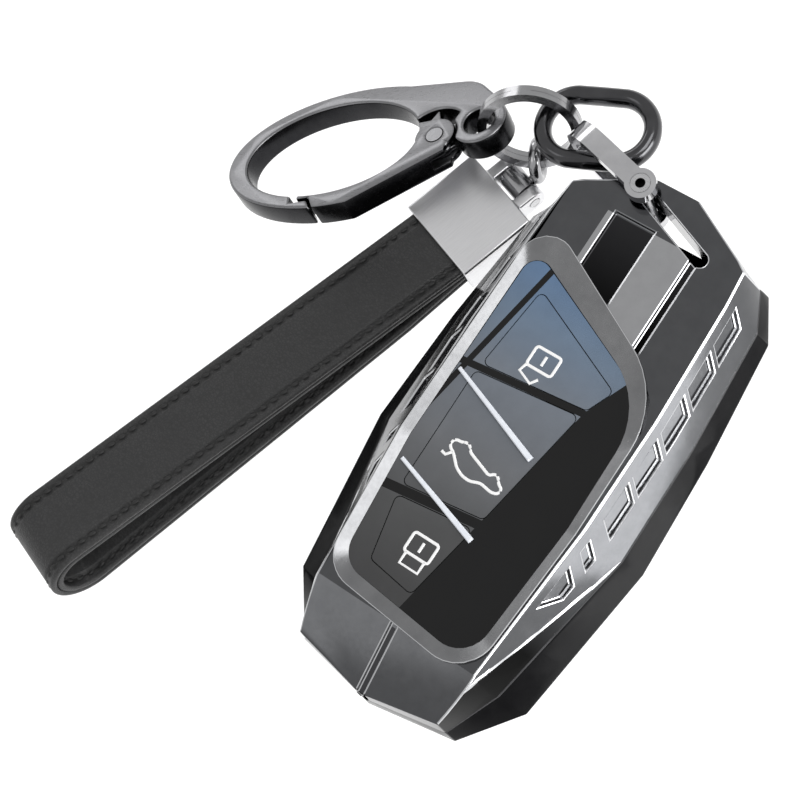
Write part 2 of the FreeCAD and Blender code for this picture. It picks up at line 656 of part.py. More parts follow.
def link_ring():
    """Flat-sided oval ring with rounded edges that hangs in the shackle bend."""
    ring = stadium(LINK_LENGTH, LINK_BREADTH, -LINK_HEIGHT / 2, LINK_HEIGHT)
    hole_length = LINK_LENGTH - 2 * LINK_BAR
    hole_breadth = LINK_BREADTH - 2 * LINK_BAR
    hole = stadium(hole_length, hole_breadth, -LINK_HEIGHT, 2 * LINK_HEIGHT)
    ring = ring.cut(hole)
    level = [e for e in ring.Edges if e.BoundBox.ZLength < LINK_EDGE]
    return in_link(ring.makeFillet(LINK_EDGE, level))


def split_ring():
    """Two flat coils of one wire, joined where the wire steps from one to the other."""
    inner = SPLIT_RADIUS - SPLIT_BAR / 2
    outer = SPLIT_RADIUS + SPLIT_BAR / 2
    coils = []
    for start in (SPLIT_COIL_GAP / 2, -SPLIT_COIL_GAP / 2 - SPLIT_COIL):
        disc = Part.makeCylinder(outer, SPLIT_COIL, Vec(0, 0, start))
        coils.append(disc.cut(Part.makeCylinder(inner, SPLIT_COIL, Vec(0, 0, start))))
    step = block(-SPLIT_BAR, SPLIT_BAR, inner, outer, -SPLIT_COIL, SPLIT_COIL).common(
        Part.makeCylinder(outer, 2 * SPLIT_COIL, Vec(0, 0, -SPLIT_COIL)))
    ring = coils[0].fuse(coils[1]).fuse(step).removeSplitter()
    return placed(ring, SPLIT_ALONG, SPLIT_UP, SPLIT_AXIS, SPLIT_ORIGIN)


def oval(start, length, breadth, z, height):
    """Upright elliptical solid that starts at a place along X."""
    ellipse = Part.Ellipse(Vec(start + length / 2, SNAP_ACROSS, z), length / 2, breadth / 2)
    return prism(Part.Wire([ellipse.toShape()]), height)


def snap_band():
    """Oval band of the snap ring, whole, before the gate is parted from it."""
    half = SNAP_THICK / 2
    outer = oval(SNAP_START, SNAP_LENGTH, SNAP_BREADTH, -half, SNAP_THICK)
    hole_length = SNAP_START + SNAP_LENGTH - SNAP_BAR_END - SNAP_HOLE_START
    hole_breadth = SNAP_BREADTH - 2 * SNAP_BAR_SIDE
    hole = oval(SNAP_HOLE_START, hole_length, hole_breadth, -SNAP_THICK, 2 * SNAP_THICK)
    return outer, hole


def gate_tip(lap_end):
    """Stepped end of the gate, where its inner half laps under the hooked far end."""
    lap_across = SNAP_ACROSS + SNAP_BREADTH / 2 - GATE_LAP_DEPTH
    hub = GATE_PIVOT_ACROSS - GATE_HUB_RADIUS
    setback = (SNAP_BREADTH - lap_across) * tan(radians(GATE_TIP_SLANT))
    return [(GATE_PIVOT_ALONG, hub), (SNAP_HOLE_START + SNAP_BAR_SIDE, hub),
            (lap_end, GATE_PIVOT_ACROSS), (lap_end, lap_across),
            (GATE_TIP_ALONG, lap_across), (GATE_TIP_ALONG - setback, SNAP_BREADTH)]


def gate_zone():
    """Part of the band that is the gate's own arm, tapered to its root at the hub."""
    root = GATE_PIVOT_ALONG - GATE_ROOT_LENGTH
    points = [(root, GATE_PIVOT_ACROSS)] + gate_tip(GATE_TIP_ALONG + GATE_LAP_LENGTH)
    points.append((GATE_SHOULDER_ALONG, SNAP_ACROSS + SNAP_BREADTH / 2))
    points.append((root, GATE_PIVOT_ACROSS + GATE_ROOT_WIDTH))
    return prism(closed_wire(points, -SNAP_THICK), 2 * SNAP_THICK)


def gate_clearance():
    """Everything on the gate's side of the frame, with the running gap round it."""
    lap_end = GATE_TIP_ALONG + GATE_LAP_LENGTH + GATE_TIP_GAP
    points = [(-SNAP_LENGTH, GATE_PIVOT_ACROSS)] + gate_tip(lap_end) + [(-SNAP_LENGTH, SNAP_BREADTH)]
    return prism(grown(closed_wire(points, -SNAP_THICK), GATE_GAP), 2 * SNAP_THICK)


def about_pivot(radius, z0, z1):
    """Disc round the gate's pivot."""
    pivot = Vec(GATE_PIVOT_ALONG, GATE_PIVOT_ACROSS, 0)
    return rod(pivot + UP * z0, pivot + UP * z1, radius)


def spring_seat(inner_radius, outer_radius):
    """Ring round the pivot, let into the upper face of the tongue."""
    top = GATE_TONGUE_THICK / 2
    foot = top - SPRING_WIRE
    return about_pivot(outer_radius, foot, top).cut(about_pivot(inner_radius, foot, top))


def snap_ring_frame():
    """Fixed part of the snap ring: spine, hooked far end, eye and the tongue that the gate turns on."""
    half = SNAP_THICK / 2
    outer, hole = snap_band()
    spine = SNAP_ACROSS - SNAP_BREADTH / 2
    neck = rounded_wire([(SNAP_START + SNAP_LENGTH / 2, spine), (SNAP_START, spine + SNAP_BAR_SIDE),
                         (-SNAP_EYE_RADIUS, -SNAP_EYE_RADIUS / 2), (0, SNAP_EYE_RADIUS),
                         (SNAP_HOLE_START, GATE_PIVOT_ACROSS)], SNAP_NECK_RADII, -half)
    frame = outer.fuse(prism(neck, SNAP_THICK)).cut(hole)
    frame = frame.cut(gate_clearance())
    frame = frame.cut(about_pivot(GATE_BAY_RADIUS, -SNAP_THICK, SNAP_THICK))
    frame = frame.fuse(rod(Vec(0, 0, -half), Vec(0, 0, half), SNAP_EYE_RADIUS))
    frame = frame.cut(about_pivot(GATE_HUB_RADIUS + GATE_GAP, -SNAP_THICK, SNAP_THICK))
    tongue_half = GATE_TONGUE_THICK / 2
    tongue = about_pivot(GATE_HUB_RADIUS - GATE_GAP, -tongue_half, tongue_half)
    bridge = block(SNAP_EYE_HOLE, GATE_PIVOT_ALONG, -GATE_PIN_RADIUS,
                   GATE_PIVOT_ACROSS + GATE_PIN_RADIUS, -tongue_half, tongue_half)
    frame = frame.fuse(tongue).fuse(bridge)
    frame = frame.cut(rod(Vec(0, 0, -SNAP_THICK), Vec(0, 0, SNAP_THICK), SNAP_EYE_HOLE))
    frame = frame.cut(about_pivot(GATE_PIN_RADIUS, -SNAP_THICK, SNAP_THICK))
    frame = frame.cut(spring_seat(GATE_PIN_RADIUS, GATE_PIN_RADIUS + 2 * SPRING_WIRE))
    return in_snap(frame.removeSplitter())


def snap_gate():
    """Gate of the snap ring: forked hub with a horn, curved arm and stepped tip."""
    half = SNAP_THICK / 2
    outer, hole = snap_band()
    gate = outer.cut(hole).common(gate_zone())
    gate = gate.fuse(about_pivot(GATE_HUB_RADIUS, -half, half))
    horn_tip = GATE_PIVOT_ACROSS - GATE_HUB_RADIUS - GATE_HORN_LENGTH
    horn = closed_wire([(GATE_PIVOT_ALONG - GATE_HORN_WIDTH / 2, GATE_PIVOT_ACROSS),
                        (GATE_PIVOT_ALONG, horn_tip),
                        (GATE_PIVOT_ALONG + GATE_HUB_RADIUS, GATE_PIVOT_ACROSS)], -half)
    gate = gate.fuse(prism(horn, SNAP_THICK))
    fork = GATE_TONGUE_THICK / 2 + GATE_TONGUE_GAP
    gate = gate.cut(about_pivot(GATE_FORK_RADIUS, -fork, fork))
    gate = gate.cut(about_pivot(GATE_PIN_RADIUS + GATE_PIN_FIT, -SNAP_THICK, SNAP_THICK))
    return in_snap(gate.removeSplitter())


def gate_pin():
    """Pin pressed through the tongue, on which the gate turns."""
    return in_snap(about_pivot(GATE_PIN_RADIUS, -SNAP_THICK / 2, SNAP_THICK / 2))


def gate_spring():
    """Flat coil round the pin that pushes the gate shut."""
    return in_snap(spring_seat(GATE_PIN_RADIUS + SPRING_WIRE / 2, GATE_PIN_RADIUS + 3 * SPRING_WIRE / 2))


def strap_clasp():
    """Folded metal clasp: pocket for the strap ends at one side, two hinge ears at the other."""
    half = CLASP_WIDTH / 2
    end = CLASP_SETBACK + CLASP_LENGTH
    body = block(CLASP_SETBACK, end, -half, half, 0, CLASP_HEIGHT)
    long_edges = [e for e in body.Edges if e.BoundBox.XLength > CLASP_LENGTH / 2]
    body = body.makeFillet(CLASP_EDGE, long_edges)
    pocket_half = STRAP_WIDTH / 2 + STRAP_FIT
    pocket_rise = STRAP_THICK + STRAP_FIT
    pocket_start = end - STRAP_TUCK - STRAP_FIT
    pocket = block(pocket_start, FAR, -pocket_half, pocket_half,
                   HINGE_Z - pocket_rise, HINGE_Z + pocket_rise)
    body = body.cut(pocket)
    for side in (1, -1):
        middle = side * EAR_SPACING / 2
        left = middle - EAR_WIDTH / 2
        right = middle + EAR_WIDTH / 2
        ear = rod(Vec(0, left, HINGE_Z), Vec(0, right, HINGE_Z), EAR_RADIUS)
        ear = ear.fuse(block(0, CLASP_SETBACK, left, right, HINGE_Z - EAR_RADIUS, HINGE_Z + EAR_RADIUS))
        body = body.fuse(ear)
    body = body.cut(rod(Vec(0, -FAR, HINGE_Z), Vec(0, FAR, HINGE_Z), HINGE_PIN_RADIUS))
    return in_strap(body.removeSplitter())


def hinge_pin():
    """Pin pressed into the clasp's ears."""
    half = (EAR_SPACING + EAR_WIDTH) / 2
    return in_strap(rod(Vec(0, -half, HINGE_Z), Vec(0, half, HINGE_Z), HINGE_PIN_RADIUS))


def strap_link():
    """Knuckle between the ears with a round eye on a short neck, hung on the split ring."""
    half = (EAR_SPACING - EAR_WIDTH) / 2 - BARREL_SIDE_GAP
    barrel = in_strap(rod(Vec(0, -half, HINGE_Z), Vec(0, half, HINGE_Z), EAR_RADIUS))
    eye = Part.makeTorus(LINK_EYE_RADIUS, LINK_EYE_BAR, RING_FOOT, SPLIT_ALONG)
    aside = HINGE_POINT - RING_FOOT
    aside = (aside - SPLIT_ALONG * aside.dot(SPLIT_ALONG)).normalize()
    neck = rod(HINGE_POINT, RING_FOOT + aside * LINK_EYE_RADIUS, LINK_NECK_RADIUS)
    link = barrel.fuse([neck, eye])
    reach = SPLIT_ALONG * (2 * LINK_EYE_BAR)
    link = link.cut(rod(RING_FOOT - reach, RING_FOOT + reach, LINK_EYE_RADIUS - LINK_EYE_BAR))
    bore = HINGE_PIN_RADIUS + HINGE_PIN_FIT
    return link.cut(in_strap(rod(Vec(0, -FAR, HINGE_Z), Vec(0, FAR, HINGE_Z), bore))).removeSplitter()


def strap_section(skin):
    """Strap loop drawn in by a skin: tucked ends, flat run, round far end and rising run."""
    start = CLASP_SETBACK + CLASP_LENGTH
    radius = STRAP_LOOP_HEIGHT / 2
    turn = start + STRAP_LENGTH - radius
    low = HINGE_Z - STRAP_THICK + skin
    high = HINGE_Z + STRAP_THICK - skin
    corners = [Vec(start, 0, low), Vec(start + STRAP_FLAT_START, 0, skin), Vec(turn, 0, skin)]
    edges = [Part.makeLine(corners[0], corners[1]), Part.makeLine(corners[1], corners[2])]
    far_end = Vec(start + STRAP_LENGTH - skin, 0, radius)
    top = Vec(turn, 0, STRAP_LOOP_HEIGHT - skin)
    edges.append(Part.Arc(corners[2], far_end, top).toShape())
    edges.append(Part.makeLine(top, Vec(start, 0, high)))
    if high - low > STRAP_FIT:
        tuck = start - STRAP_TUCK
        edges.append(Part.makeLine(Vec(start, 0, high), Vec(tuck, 0, high)))
        edges.append(Part.makeLine(Vec(tuck, 0, high), Vec(tuck, 0, low)))
        edges.append(Part.makeLine(Vec(tuck, 0, low), corners[0]))
    half = Vec(0, STRAP_WIDTH / 2, 0)
    face = Part.Face(Part.Wire(edges))
    face.translate(half * -1)
    return face.extrude(half * 2)


def strap_leather():
    """Outer leather ply of the strap loop."""
    return in_strap(strap_section(0.0).cut(strap_section(STRAP_PLY)))


def strap_lining():
    """Inner leather ply of the strap loop."""
    return in_strap(strap_section(STRAP_PLY).cut(strap_section(STRAP_THICK)))


def main():
    """Build every piece and write it to its own file."""
    pieces = {
        "front_cover": front_cover(),
        "rear_cover": rear_cover(),
        "key_front_shell": key_front_shell(),
        "key_rear_shell": key_rear_shell(),
        "unlock_button": key_button(UNLOCK_CORNERS),
        "trunk_button": key_button(TRUNK_CORNERS),
        "lock_button": key_button(LOCK_CORNERS),
        "upper_divider_bar": divider_bar(UPPER_BAR_START, UPPER_BAR_END),
        "lower_divider_bar": divider_bar(LOWER_BAR_START, LOWER_BAR_END),
        "circuit_board": circuit_board(),
        "tact_switches": tact_switches(),
        "coin_cell": coin_cell(),
        "shackle": shackle(),
        "shackle_screw": shackle_screw(),
        "link_ring": link_ring(),
        "split_ring": split_ring(),
        "snap_ring_frame": snap_ring_frame(),
        "snap_gate": snap_gate(),
        "gate_pin": gate_pin(),
        "gate_spring": gate_spring(),
        "strap_link": strap_link(),
        "hinge_pin": hinge_pin(),
        "strap_clasp": strap_clasp(),
        "strap_leather": strap_leather(),
        "strap_lining": strap_lining(),
    }
    os.makedirs("parts", exist_ok=True)
    for name, shape in pieces.items():
        shape.exportStep(os.path.join("parts", name + ".step"))


if __name__ == "__main__":
    main()
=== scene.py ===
"""Looks of the alloy key fob cover, its key, its rings and its leather strap."""
import bpy
import json
from math import atan2, cos, pi, radians, sin, tan
from mathutils import Euler, Matrix, Vector


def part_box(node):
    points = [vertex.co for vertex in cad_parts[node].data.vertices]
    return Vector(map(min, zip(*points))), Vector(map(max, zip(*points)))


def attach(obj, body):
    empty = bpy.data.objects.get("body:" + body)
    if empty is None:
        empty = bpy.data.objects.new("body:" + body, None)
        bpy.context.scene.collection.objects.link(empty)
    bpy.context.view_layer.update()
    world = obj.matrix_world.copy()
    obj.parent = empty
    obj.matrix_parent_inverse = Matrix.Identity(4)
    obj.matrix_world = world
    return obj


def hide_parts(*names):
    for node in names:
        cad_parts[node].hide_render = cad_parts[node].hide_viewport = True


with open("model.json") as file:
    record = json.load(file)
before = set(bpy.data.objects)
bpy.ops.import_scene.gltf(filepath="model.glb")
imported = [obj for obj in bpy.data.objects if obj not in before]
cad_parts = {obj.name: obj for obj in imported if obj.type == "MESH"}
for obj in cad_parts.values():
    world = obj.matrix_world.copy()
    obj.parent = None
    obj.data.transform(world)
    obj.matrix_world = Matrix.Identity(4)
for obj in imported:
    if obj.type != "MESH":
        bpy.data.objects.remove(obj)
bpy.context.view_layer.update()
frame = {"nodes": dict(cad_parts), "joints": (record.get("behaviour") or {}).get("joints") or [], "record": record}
MM = 0.001
UP = Vector((0, 0, 1))

# Places taken from the frame
JOINTS = {joint["name"]: joint for joint in frame["joints"]}
STRAP_HINGE = Vector(JOINTS["strap_hinge"]["pos_m"])
STRAP_ACROSS = -Vector(JOINTS["strap_hinge"]["axis"])
STRAP_ALONG = Vector((STRAP_ACROSS.y, -STRAP_ACROSS.x, 0))
STRAP_TURN = (0, 0, atan2(STRAP_ALONG.y, STRAP_ALONG.x))
SNAP_UP = -Vector(JOINTS["gate_hinge"]["axis"])
SNAP_SIDE = Vector(JOINTS["snap_ring_tilt"]["axis"])
SNAP_TURN = (0, 0, atan2(-SNAP_SIDE.x, SNAP_SIDE.y))
LINK_ACROSS = Vector(JOINTS["split_ring_tilt"]["axis"])
LINK_ALONG = Vector((LINK_ACROSS.y, -LINK_ACROSS.x, 0))
SCREW_PLACE = Vector(JOINTS["shackle_swivel"]["pos_m"])
BUTTON_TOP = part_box("unlock_button")[1].z

# Leather strap
STRAP_PLY = 1.1 * MM
STRAP_FLAT_START = 12 * MM
STRAP_END_STEPS = 16
STITCH_LENGTH = 1.6 * MM
STITCH_WIDTH = 0.72 * MM
STITCH_HEIGHT = 0.5 * MM
STITCH_PITCH = 2.05 * MM
STITCH_INSET = 1.5 * MM
STITCH_SLANT = radians(9)
STITCH_GROOVE = 1.0 * MM
STITCH_SEAT = 0.1 * MM
STITCH_SIDES = 8
STITCH_RINGS = 6

# Broken edges of the pieces, and the angles at which an edge is broken or shaded round
FRONT_BREAK = 0.22 * MM
REAR_BREAK = 0.12 * MM
SNAP_BREAK = 0.45 * MM
GATE_BREAK = 0.3 * MM
CLASP_BREAK = 0.3 * MM
LEATHER_BREAK = 0.5 * MM
LINING_BREAK = 0.4 * MM
FACET_ANGLE = radians(24)
CORNER_ANGLE = radians(35)
FACET_SMOOTH = radians(12)
BEZEL_SMOOTH = radians(20)
BODY_SMOOTH = radians(30)
SYMBOL_SMOOTH = radians(40)

# Limits for merging, and for picking faces by the cosine of their tilt
HAIR = 0.002 * MM
FLAT_ANGLE = radians(0.05)
FACET_FACING = 0.7
SIDE_FACING = 0.4

# Top panels of the front cover
RIDGE_Z = 17.3 * MM
RAISED_LEAST = 0.005 * MM
PANEL_TOP_UNDER = 0.1 * MM
PANEL_TOP_OVER = 0.05 * MM
PANEL_FOOT_Y = 12 * MM
PANEL_HEAD_Y = 36 * MM
# Line where the painted shade on the recess floors grows deepest
PANEL_DARK_Y = 22 * MM
PANEL_GROOVE_END = 8.5 * MM
# Strips of the top panels, x from and to, that carry a painted highlight
HIGHLIGHT_STRIPS = ((-7.7 * MM, -6.6 * MM), (0.4 * MM, 7.2 * MM))
# Height range of the recess floors, which carry a painted shade, and the margins by the recess where the painted
# edge highlight is left off
RECESS_HIGH = 0.3 * MM
RECESS_LOW = 0.8 * MM
RECESS_MARGIN = 0.6 * MM
RECESS_HEAD = 2 * MM
DEEP_SHADE = (0.004, 0.004, 0.004)

# Foot panels of the front cover, with painted shade on the foot end, in the groove and on the lower facets: ridge
# lines in millimetres, outward on their left
FOOT_END_Y = -41 * MM
FOOT_END_Z = 13.4 * MM
FOOT_TOP_Y = -33.2 * MM
FOOT_REACH = 10 * MM
FOOT_GROOVE = 1.3 * MM
FOOT_RIDGES = (((14.3, -33.0), (12.4, -42.0)), ((-12.4, -42.0), (-14.3, -33.0)))
RIDGE_OFFSET = 0.1 * MM
FACET_REACH = 30 * MM

# Raised crease with a painted highlight across each side facet at the foot, and painted shade on the facet beyond
# it: lines in millimetres, outward on their left
FOOT_CREASES = (((18.41, -18.51), (15.59, -29.45)), ((-15.59, -29.45), (-18.41, -18.51)))
CREASE_WIDTH = 0.26 * MM
CREASE_RISE = 0.1 * MM
CREASE_TOP_Y = -8 * MM
# Painted shade beyond each crease deepens from CREASE_TOP_Y to here
CREASE_DARK_Y = -26 * MM
COVER_HALF = 10 * MM

# Link ring and shackle screw
LINK_LENGTH = 20 * MM
LINK_BREADTH = 13.5 * MM
LINK_BAR = 2.8 * MM
LINK_STEPS = 64
LINK_ROUNDNESS = 6
# Radius of the painted shade in the shackle screw's socket
SOCKET_SHADE_RADIUS = 0.78 * MM

# Bezel of the window: corners of its crest and of its foot, in millimetres, with their radii
BEZEL_CREST_CORNERS = ((-15.5, 31.4), (15.6, 15.5), (15.6, -8.0),
                       (13.9, -34.1), (-14.2, -31.4), (-16.0, -8.0))
BEZEL_CREST_RADII = (4.5, 15.0, 12.0, 6.4, 5.8, 12.0)
BEZEL_FOOT_CORNERS = ((-14.1, 25.9), (13.6, 13.3), (13.9, -8.0),
                      (12.1, -31.8), (-12.6, -29.2), (-14.4, -8.0))
BEZEL_FOOT_RADII = (2.6, 13.0, 12.0, 5.0, 4.5, 12.0)
BEZEL_ROUND_STEPS = 8
BEZEL_CREST_Z = 18.0 * MM
BEZEL_FOOT_Z = 17.04 * MM
BEZEL_SKIRT = 1.4 * MM
BEZEL_EDGE = 0.16 * MM
BEZEL_EDGE_STEPS = 2
BEZEL_BED_Z = 16.8 * MM
BEZEL_RIM = 0.3 * MM

# Symbols on the buttons: bows and car in millimetres
SYMBOL_LINE = 0.46 * MM
SYMBOL_ROUNDNESS = 3
SYMBOL_CORNER_STEPS = 4
SYMBOL_FLATNESS = 0.3
PADLOCK_WIDTH = 4.4 * MM
PADLOCK_DEPTH = 3.2 * MM
KEYHOLE = 1.6 * MM
UNLOCK_CENTRE = (-3.1 * MM, 11.4 * MM)
UNLOCK_BOW = ((0.1, 0), (-0.3, -1.3), (2.2, -2.3), (3.0, -1.2))
LOCK_CENTRE = (-3.05 * MM, -21.4 * MM)
LOCK_BOW = ((0.55, 0), (0.55, -1.9), (3.85, -1.9), (3.85, 0))
CAR_CENTRE = (-3.43 * MM, -7.4 * MM)
CAR_TURN = radians(-20.9)
CAR_OUTLINE = ((-3.5, 1.0), (-1.4, 1.9), (0.1, 2.0), (1.5, 1.6), (2.8, 0.45), (5.0, 0.0), (5.8, -0.7),
               (5.6, -1.5), (4.5, -1.6), (3.9, -2.15), (3.0, -2.1), (2.7, -1.2), (-2.0, -1.05),
               (-2.7, -1.6), (-3.6, -1.5), (-4.0, -0.9), (-4.9, -0.6), (-5.15, 0.1), (-4.7, 0.85))
CAR_LID = ((-3.7, 1.0), (-4.1, 2.1), (-4.9, 2.2))

# Key's face: edges of a painted soft-box reflection and of the dark gaps left out of it, where the grooves lie in
# shade, as lines in millimetres, and the painted reflection's tints from foot to head
KEY_LIGHT_EDGES = (((-0.4, -28.0), (6.3, 7.1)), ((6.6, 8.2), (8.6, 12.6)))
KEY_LIGHT_REACH = 60 * MM
KEY_GAPS = ((((-13.2, 5.6), (-9.6, 24.9)), 0.95 * MM), (((-11.3, 5.8), (6.45, 7.65)), 1.1 * MM),
            (((-11.15, -15.8), (2.3, -14.1)), 1.5 * MM))
KEY_FOOT_Y = -28 * MM
KEY_HEAD_Y = 24 * MM
KEY_REFLECTION_TINTS = ((0.0, (0.052, 0.052, 0.053)), (0.2, (0.072, 0.073, 0.074)), (0.42, (0.135, 0.140, 0.150)),
             (0.68, (0.155, 0.175, 0.205)), (0.85, (0.135, 0.185, 0.255)), (1.0, (0.105, 0.175, 0.290)))

# Patterns in the finishes: cells per metre, detail and roughness of a noise, or the size of a streak
PATTERN_LOW = 0.3
PATTERN_HIGH = 0.7
METAL_CLOUDS = (320.0, 4.0, 0.55)
METAL_POLISH = (1400.0, 6.0, 0.6)
METAL_WAVES = (420.0, 2.0, 0.55)
METAL_GRAIN = (5200.0, 2.0, 0.55)
BRUSHED_LINES = (1.0, 3.0, 0.55)
BRUSHED_STREAK = (3.5 * MM, 0.2 * MM, 0.2 * MM)
FRONT_CLOUDS = (500.0, 4.0, 0.55)
FRONT_CLOUD_TONE = (0.93, 0.93, 0.93)
LACQUER_CLOUDS = (180.0, 4.0, 0.55)
LACQUER_HAZE = (900.0, 6.0, 0.65)
LACQUER_PEEL = (500.0, 2.0, 0.55)
KEY_CLOUDS = (260.0, 4.0, 0.55)
KEY_CLOUD_TONE = (0.9, 0.9, 0.9)
KEY_HAZE = (900.0, 6.0, 0.55)
MOULDING_NOISE = (5.0, 0.55)
MOULDING_STOPS = (0.35, 0.65)
LEATHER_CELLS = 2100.0
LEATHER_CELL_EDGE = 0.28
LEATHER_WARP = 700.0
LEATHER_SHIFT = (0.9 * MM, 0.9 * MM, 0.9 * MM)
LEATHER_RUB = (160.0, 6.0, 0.6)
LEATHER_STOPS = (0.1, 0.7)
LEATHER_CREASES = (1.0, 5.0, 0.55)
LEATHER_CREASE_SIZE = (2.4 * MM, 5 * MM, 4 * MM)
FLOOR_CLOUDS = (6.0, 4.0, 0.55)

# Relief in the finishes: depth and strength
PLATING_RELIEF = (0.006 * MM, 0.35)
BLASTED_RELIEF = (0.03 * MM, 0.35)
BRUSHED_RELIEF = (0.02 * MM, 0.25)
LACQUER_RELIEF = (0.01 * MM, 0.2)
KEY_RELIEF = (0.01 * MM, 0.1)
MOULDING_RELIEF = (0.02 * MM, 0.3)
PEBBLE_RELIEF = (0.07 * MM, 0.5)
CREASE_RELIEF = (0.2 * MM, 0.3)
SEAM_RELIEF = (0.6 * MM, 0.8)

# Least and greatest roughness, and shine, of finishes that aren't metal
KEY_ROUGHNESS = (0.1, 0.17)
LEATHER_ROUGHNESS = (0.38, 0.52)
LACQUER_SHINE = 0.07
KEY_SHINE = 0.3
LEATHER_SHINE = 0.42

# Studio: the floor lies under the lowest reach of the hanging strap
FLOOR_LIFT = 0.3
FLOOR_Z = -92 * MM
FLOOR_SIZE = 4.0
FLOOR_DARK = (0.87, 0.87, 0.87)
FLOOR_LIGHT = (0.89, 0.89, 0.89)
FLOOR_ROUGHNESS = 0.85
ROOM_LIGHT = 0.66
WHITE = (1.0, 1.0, 1.0, 1.0)
CAMERA_PLACE = Vector((97.85, -35.22, 299.29)) * MM
CAMERA_TURN = Euler((radians(17.428), radians(15.447), radians(34.943)))
CAMERA_ANGLE = radians(22)
CAMERA_NEAR = 10 * MM

# Lamps: name, place, aim, width and height in metres, and watts
STUDIO_LAMPS = (
    ("key_light", (0.35, 0.2, 0.6), (0, 0, 0), 0.4, 0.4, 1.7),
    ("right_side", (0.7, 0.08, 0.16), (0, 0, 0.01), 0.5, 0.24, 1.4),
    ("low_strip", (0.085, 0.01, 0.022), (0, 0.01, 0.012), 0.15, 0.04, 0.075),
    ("front_left", (-0.27, -0.34, 0.54), (0, -0.03, 0), 0.26, 0.26, 0.2),
    ("left_back", (-0.62, 0.3, 0.22), (-0.04, 0.03, 0.01), 0.4, 0.2, 0.5),
)


def strap_reach(node, direction):
    """Greatest distance of a node from the strap's hinge along a direction."""
    return max((vertex.co - STRAP_HINGE).dot(direction) for vertex in frame["nodes"][node].data.vertices)


STITCH_ROW = strap_reach("strap_leather", STRAP_ACROSS) - STITCH_INSET


def line_side(line):
    """Start of a line given in millimetres, and the level direction to its left."""
    start, end = (Vector((x, y, 0)) * MM for x, y in line)
    return start, UP.cross((end - start).normalized())


# Nodes that the finishes are made of

def finish_material(name):
    """New material: itself, its node tree, its shader and its object coordinates."""
    mat = bpy.data.materials.new(name)
    mat.use_nodes = True
    tree = mat.node_tree
    coords = tree.nodes.new("ShaderNodeTexCoord")
    return mat, tree, tree.nodes["Principled BSDF"], coords.outputs["Object"]


def feed(tree, socket, value):
    """Socket joined to another node's output, or set to a plain value."""
    if isinstance(value, bpy.types.NodeSocket):
        tree.links.new(value, socket)
    else:
        socket.default_value = value


def arithmetic(tree, operation, *values, clamp=False):
    """Result of an operation on numbers and outputs of other nodes."""
    node = tree.nodes.new("ShaderNodeMath")
    node.operation = operation
    node.use_clamp = clamp
    for socket, value in zip(node.inputs, values):
        feed(tree, socket, value)
    return node.outputs["Value"]


def vector_arithmetic(tree, operation, *values):
    """Outputs of an operation on vectors and outputs of other nodes."""
    node = tree.nodes.new("ShaderNodeVectorMath")
    node.operation = operation
    for socket, value in zip(node.inputs, values):
        feed(tree, socket, value)
    return node.outputs


def axes_of(tree, coords):
    """The three coordinates of a place, each by itself."""
    split = tree.nodes.new("ShaderNodeSeparateXYZ")
    tree.links.new(coords, split.inputs["Vector"])
    return split.outputs


def noise_of(tree, coords, pattern):
    """Cloudy pattern: cells per metre, detail and roughness."""
    scale, detail, roughness = pattern
    noise = tree.nodes.new("ShaderNodeTexNoise")
    noise.inputs["Scale"].default_value = scale
    noise.inputs["Detail"].default_value = detail
    noise.inputs["Roughness"].default_value = roughness
    tree.links.new(coords, noise.inputs["Vector"])
    return noise.outputs["Fac"]


def stretched(tree, coords, size, turn):
    """Coordinates whose unit is a streak of a given size, drawn out along a turned direction."""
    mapping = tree.nodes.new("ShaderNodeMapping")
    mapping.vector_type = "TEXTURE"
    mapping.inputs["Scale"].default_value = size
    mapping.inputs["Rotation"].default_value = turn
    tree.links.new(coords, mapping.inputs["Vector"])
    return mapping.outputs["Vector"]


def colour_range(tree, factor, stops):
    """Colour ramp over a factor, stops given as (place, colour)."""
    ramp = tree.nodes.new("ShaderNodeValToRGB")
    elements = ramp.color_ramp.elements
    while len(elements) < len(stops):
        elements.new(0.5)
    for element, (place, colour) in zip(elements, stops):
        element.position = place
        element.color = (*colour, 1.0)
    tree.links.new(factor, ramp.inputs["Fac"])
    return ramp.outputs["Color"]


def tone_range(tree, factor, dark, light, low=PATTERN_LOW, high=PATTERN_HIGH):
    """Two tones spread over a pattern."""
    return colour_range(tree, factor, ((low, dark), (high, light)))


def fade(tree, value, none, full, low=0.0, high=1.0, kind="LINEAR"):
    """Low at one value, going to high at another."""
    spread = tree.nodes.new("ShaderNodeMapRange")
    spread.interpolation_type = kind
    spread.inputs["From Min"].default_value = none
    spread.inputs["From Max"].default_value = full
    spread.inputs["To Min"].default_value = low
    spread.inputs["To Max"].default_value = high
    tree.links.new(value, spread.inputs["Value"])
    return spread.outputs["Result"]


def rough_range(tree, shader, pattern, low, high):
    """Roughness of a finish spread over a pattern."""
    rough = fade(tree, pattern, PATTERN_LOW, PATTERN_HIGH, low, high)
    tree.links.new(rough, shader.inputs["Roughness"])


def relief(tree, shader, height, depth, below=None):
    """Bump of a depth in metres and a strength on the shader's normal."""
    bump = tree.nodes.new("ShaderNodeBump")
    bump.inputs["Distance"].default_value = depth[0]
    bump.inputs["Strength"].default_value = depth[1]
    tree.links.new(height, bump.inputs["Height"])
    if below is not None:
        tree.links.new(below, bump.inputs["Normal"])
    tree.links.new(bump.outputs["Normal"], shader.inputs["Normal"])
    return bump.outputs["Normal"]


def within(tree, value, low, high):
    """One where a value lies between two bounds, else nought."""
    return arithmetic(tree, "COMPARE", value, (low + high) / 2, (high - low) / 2)


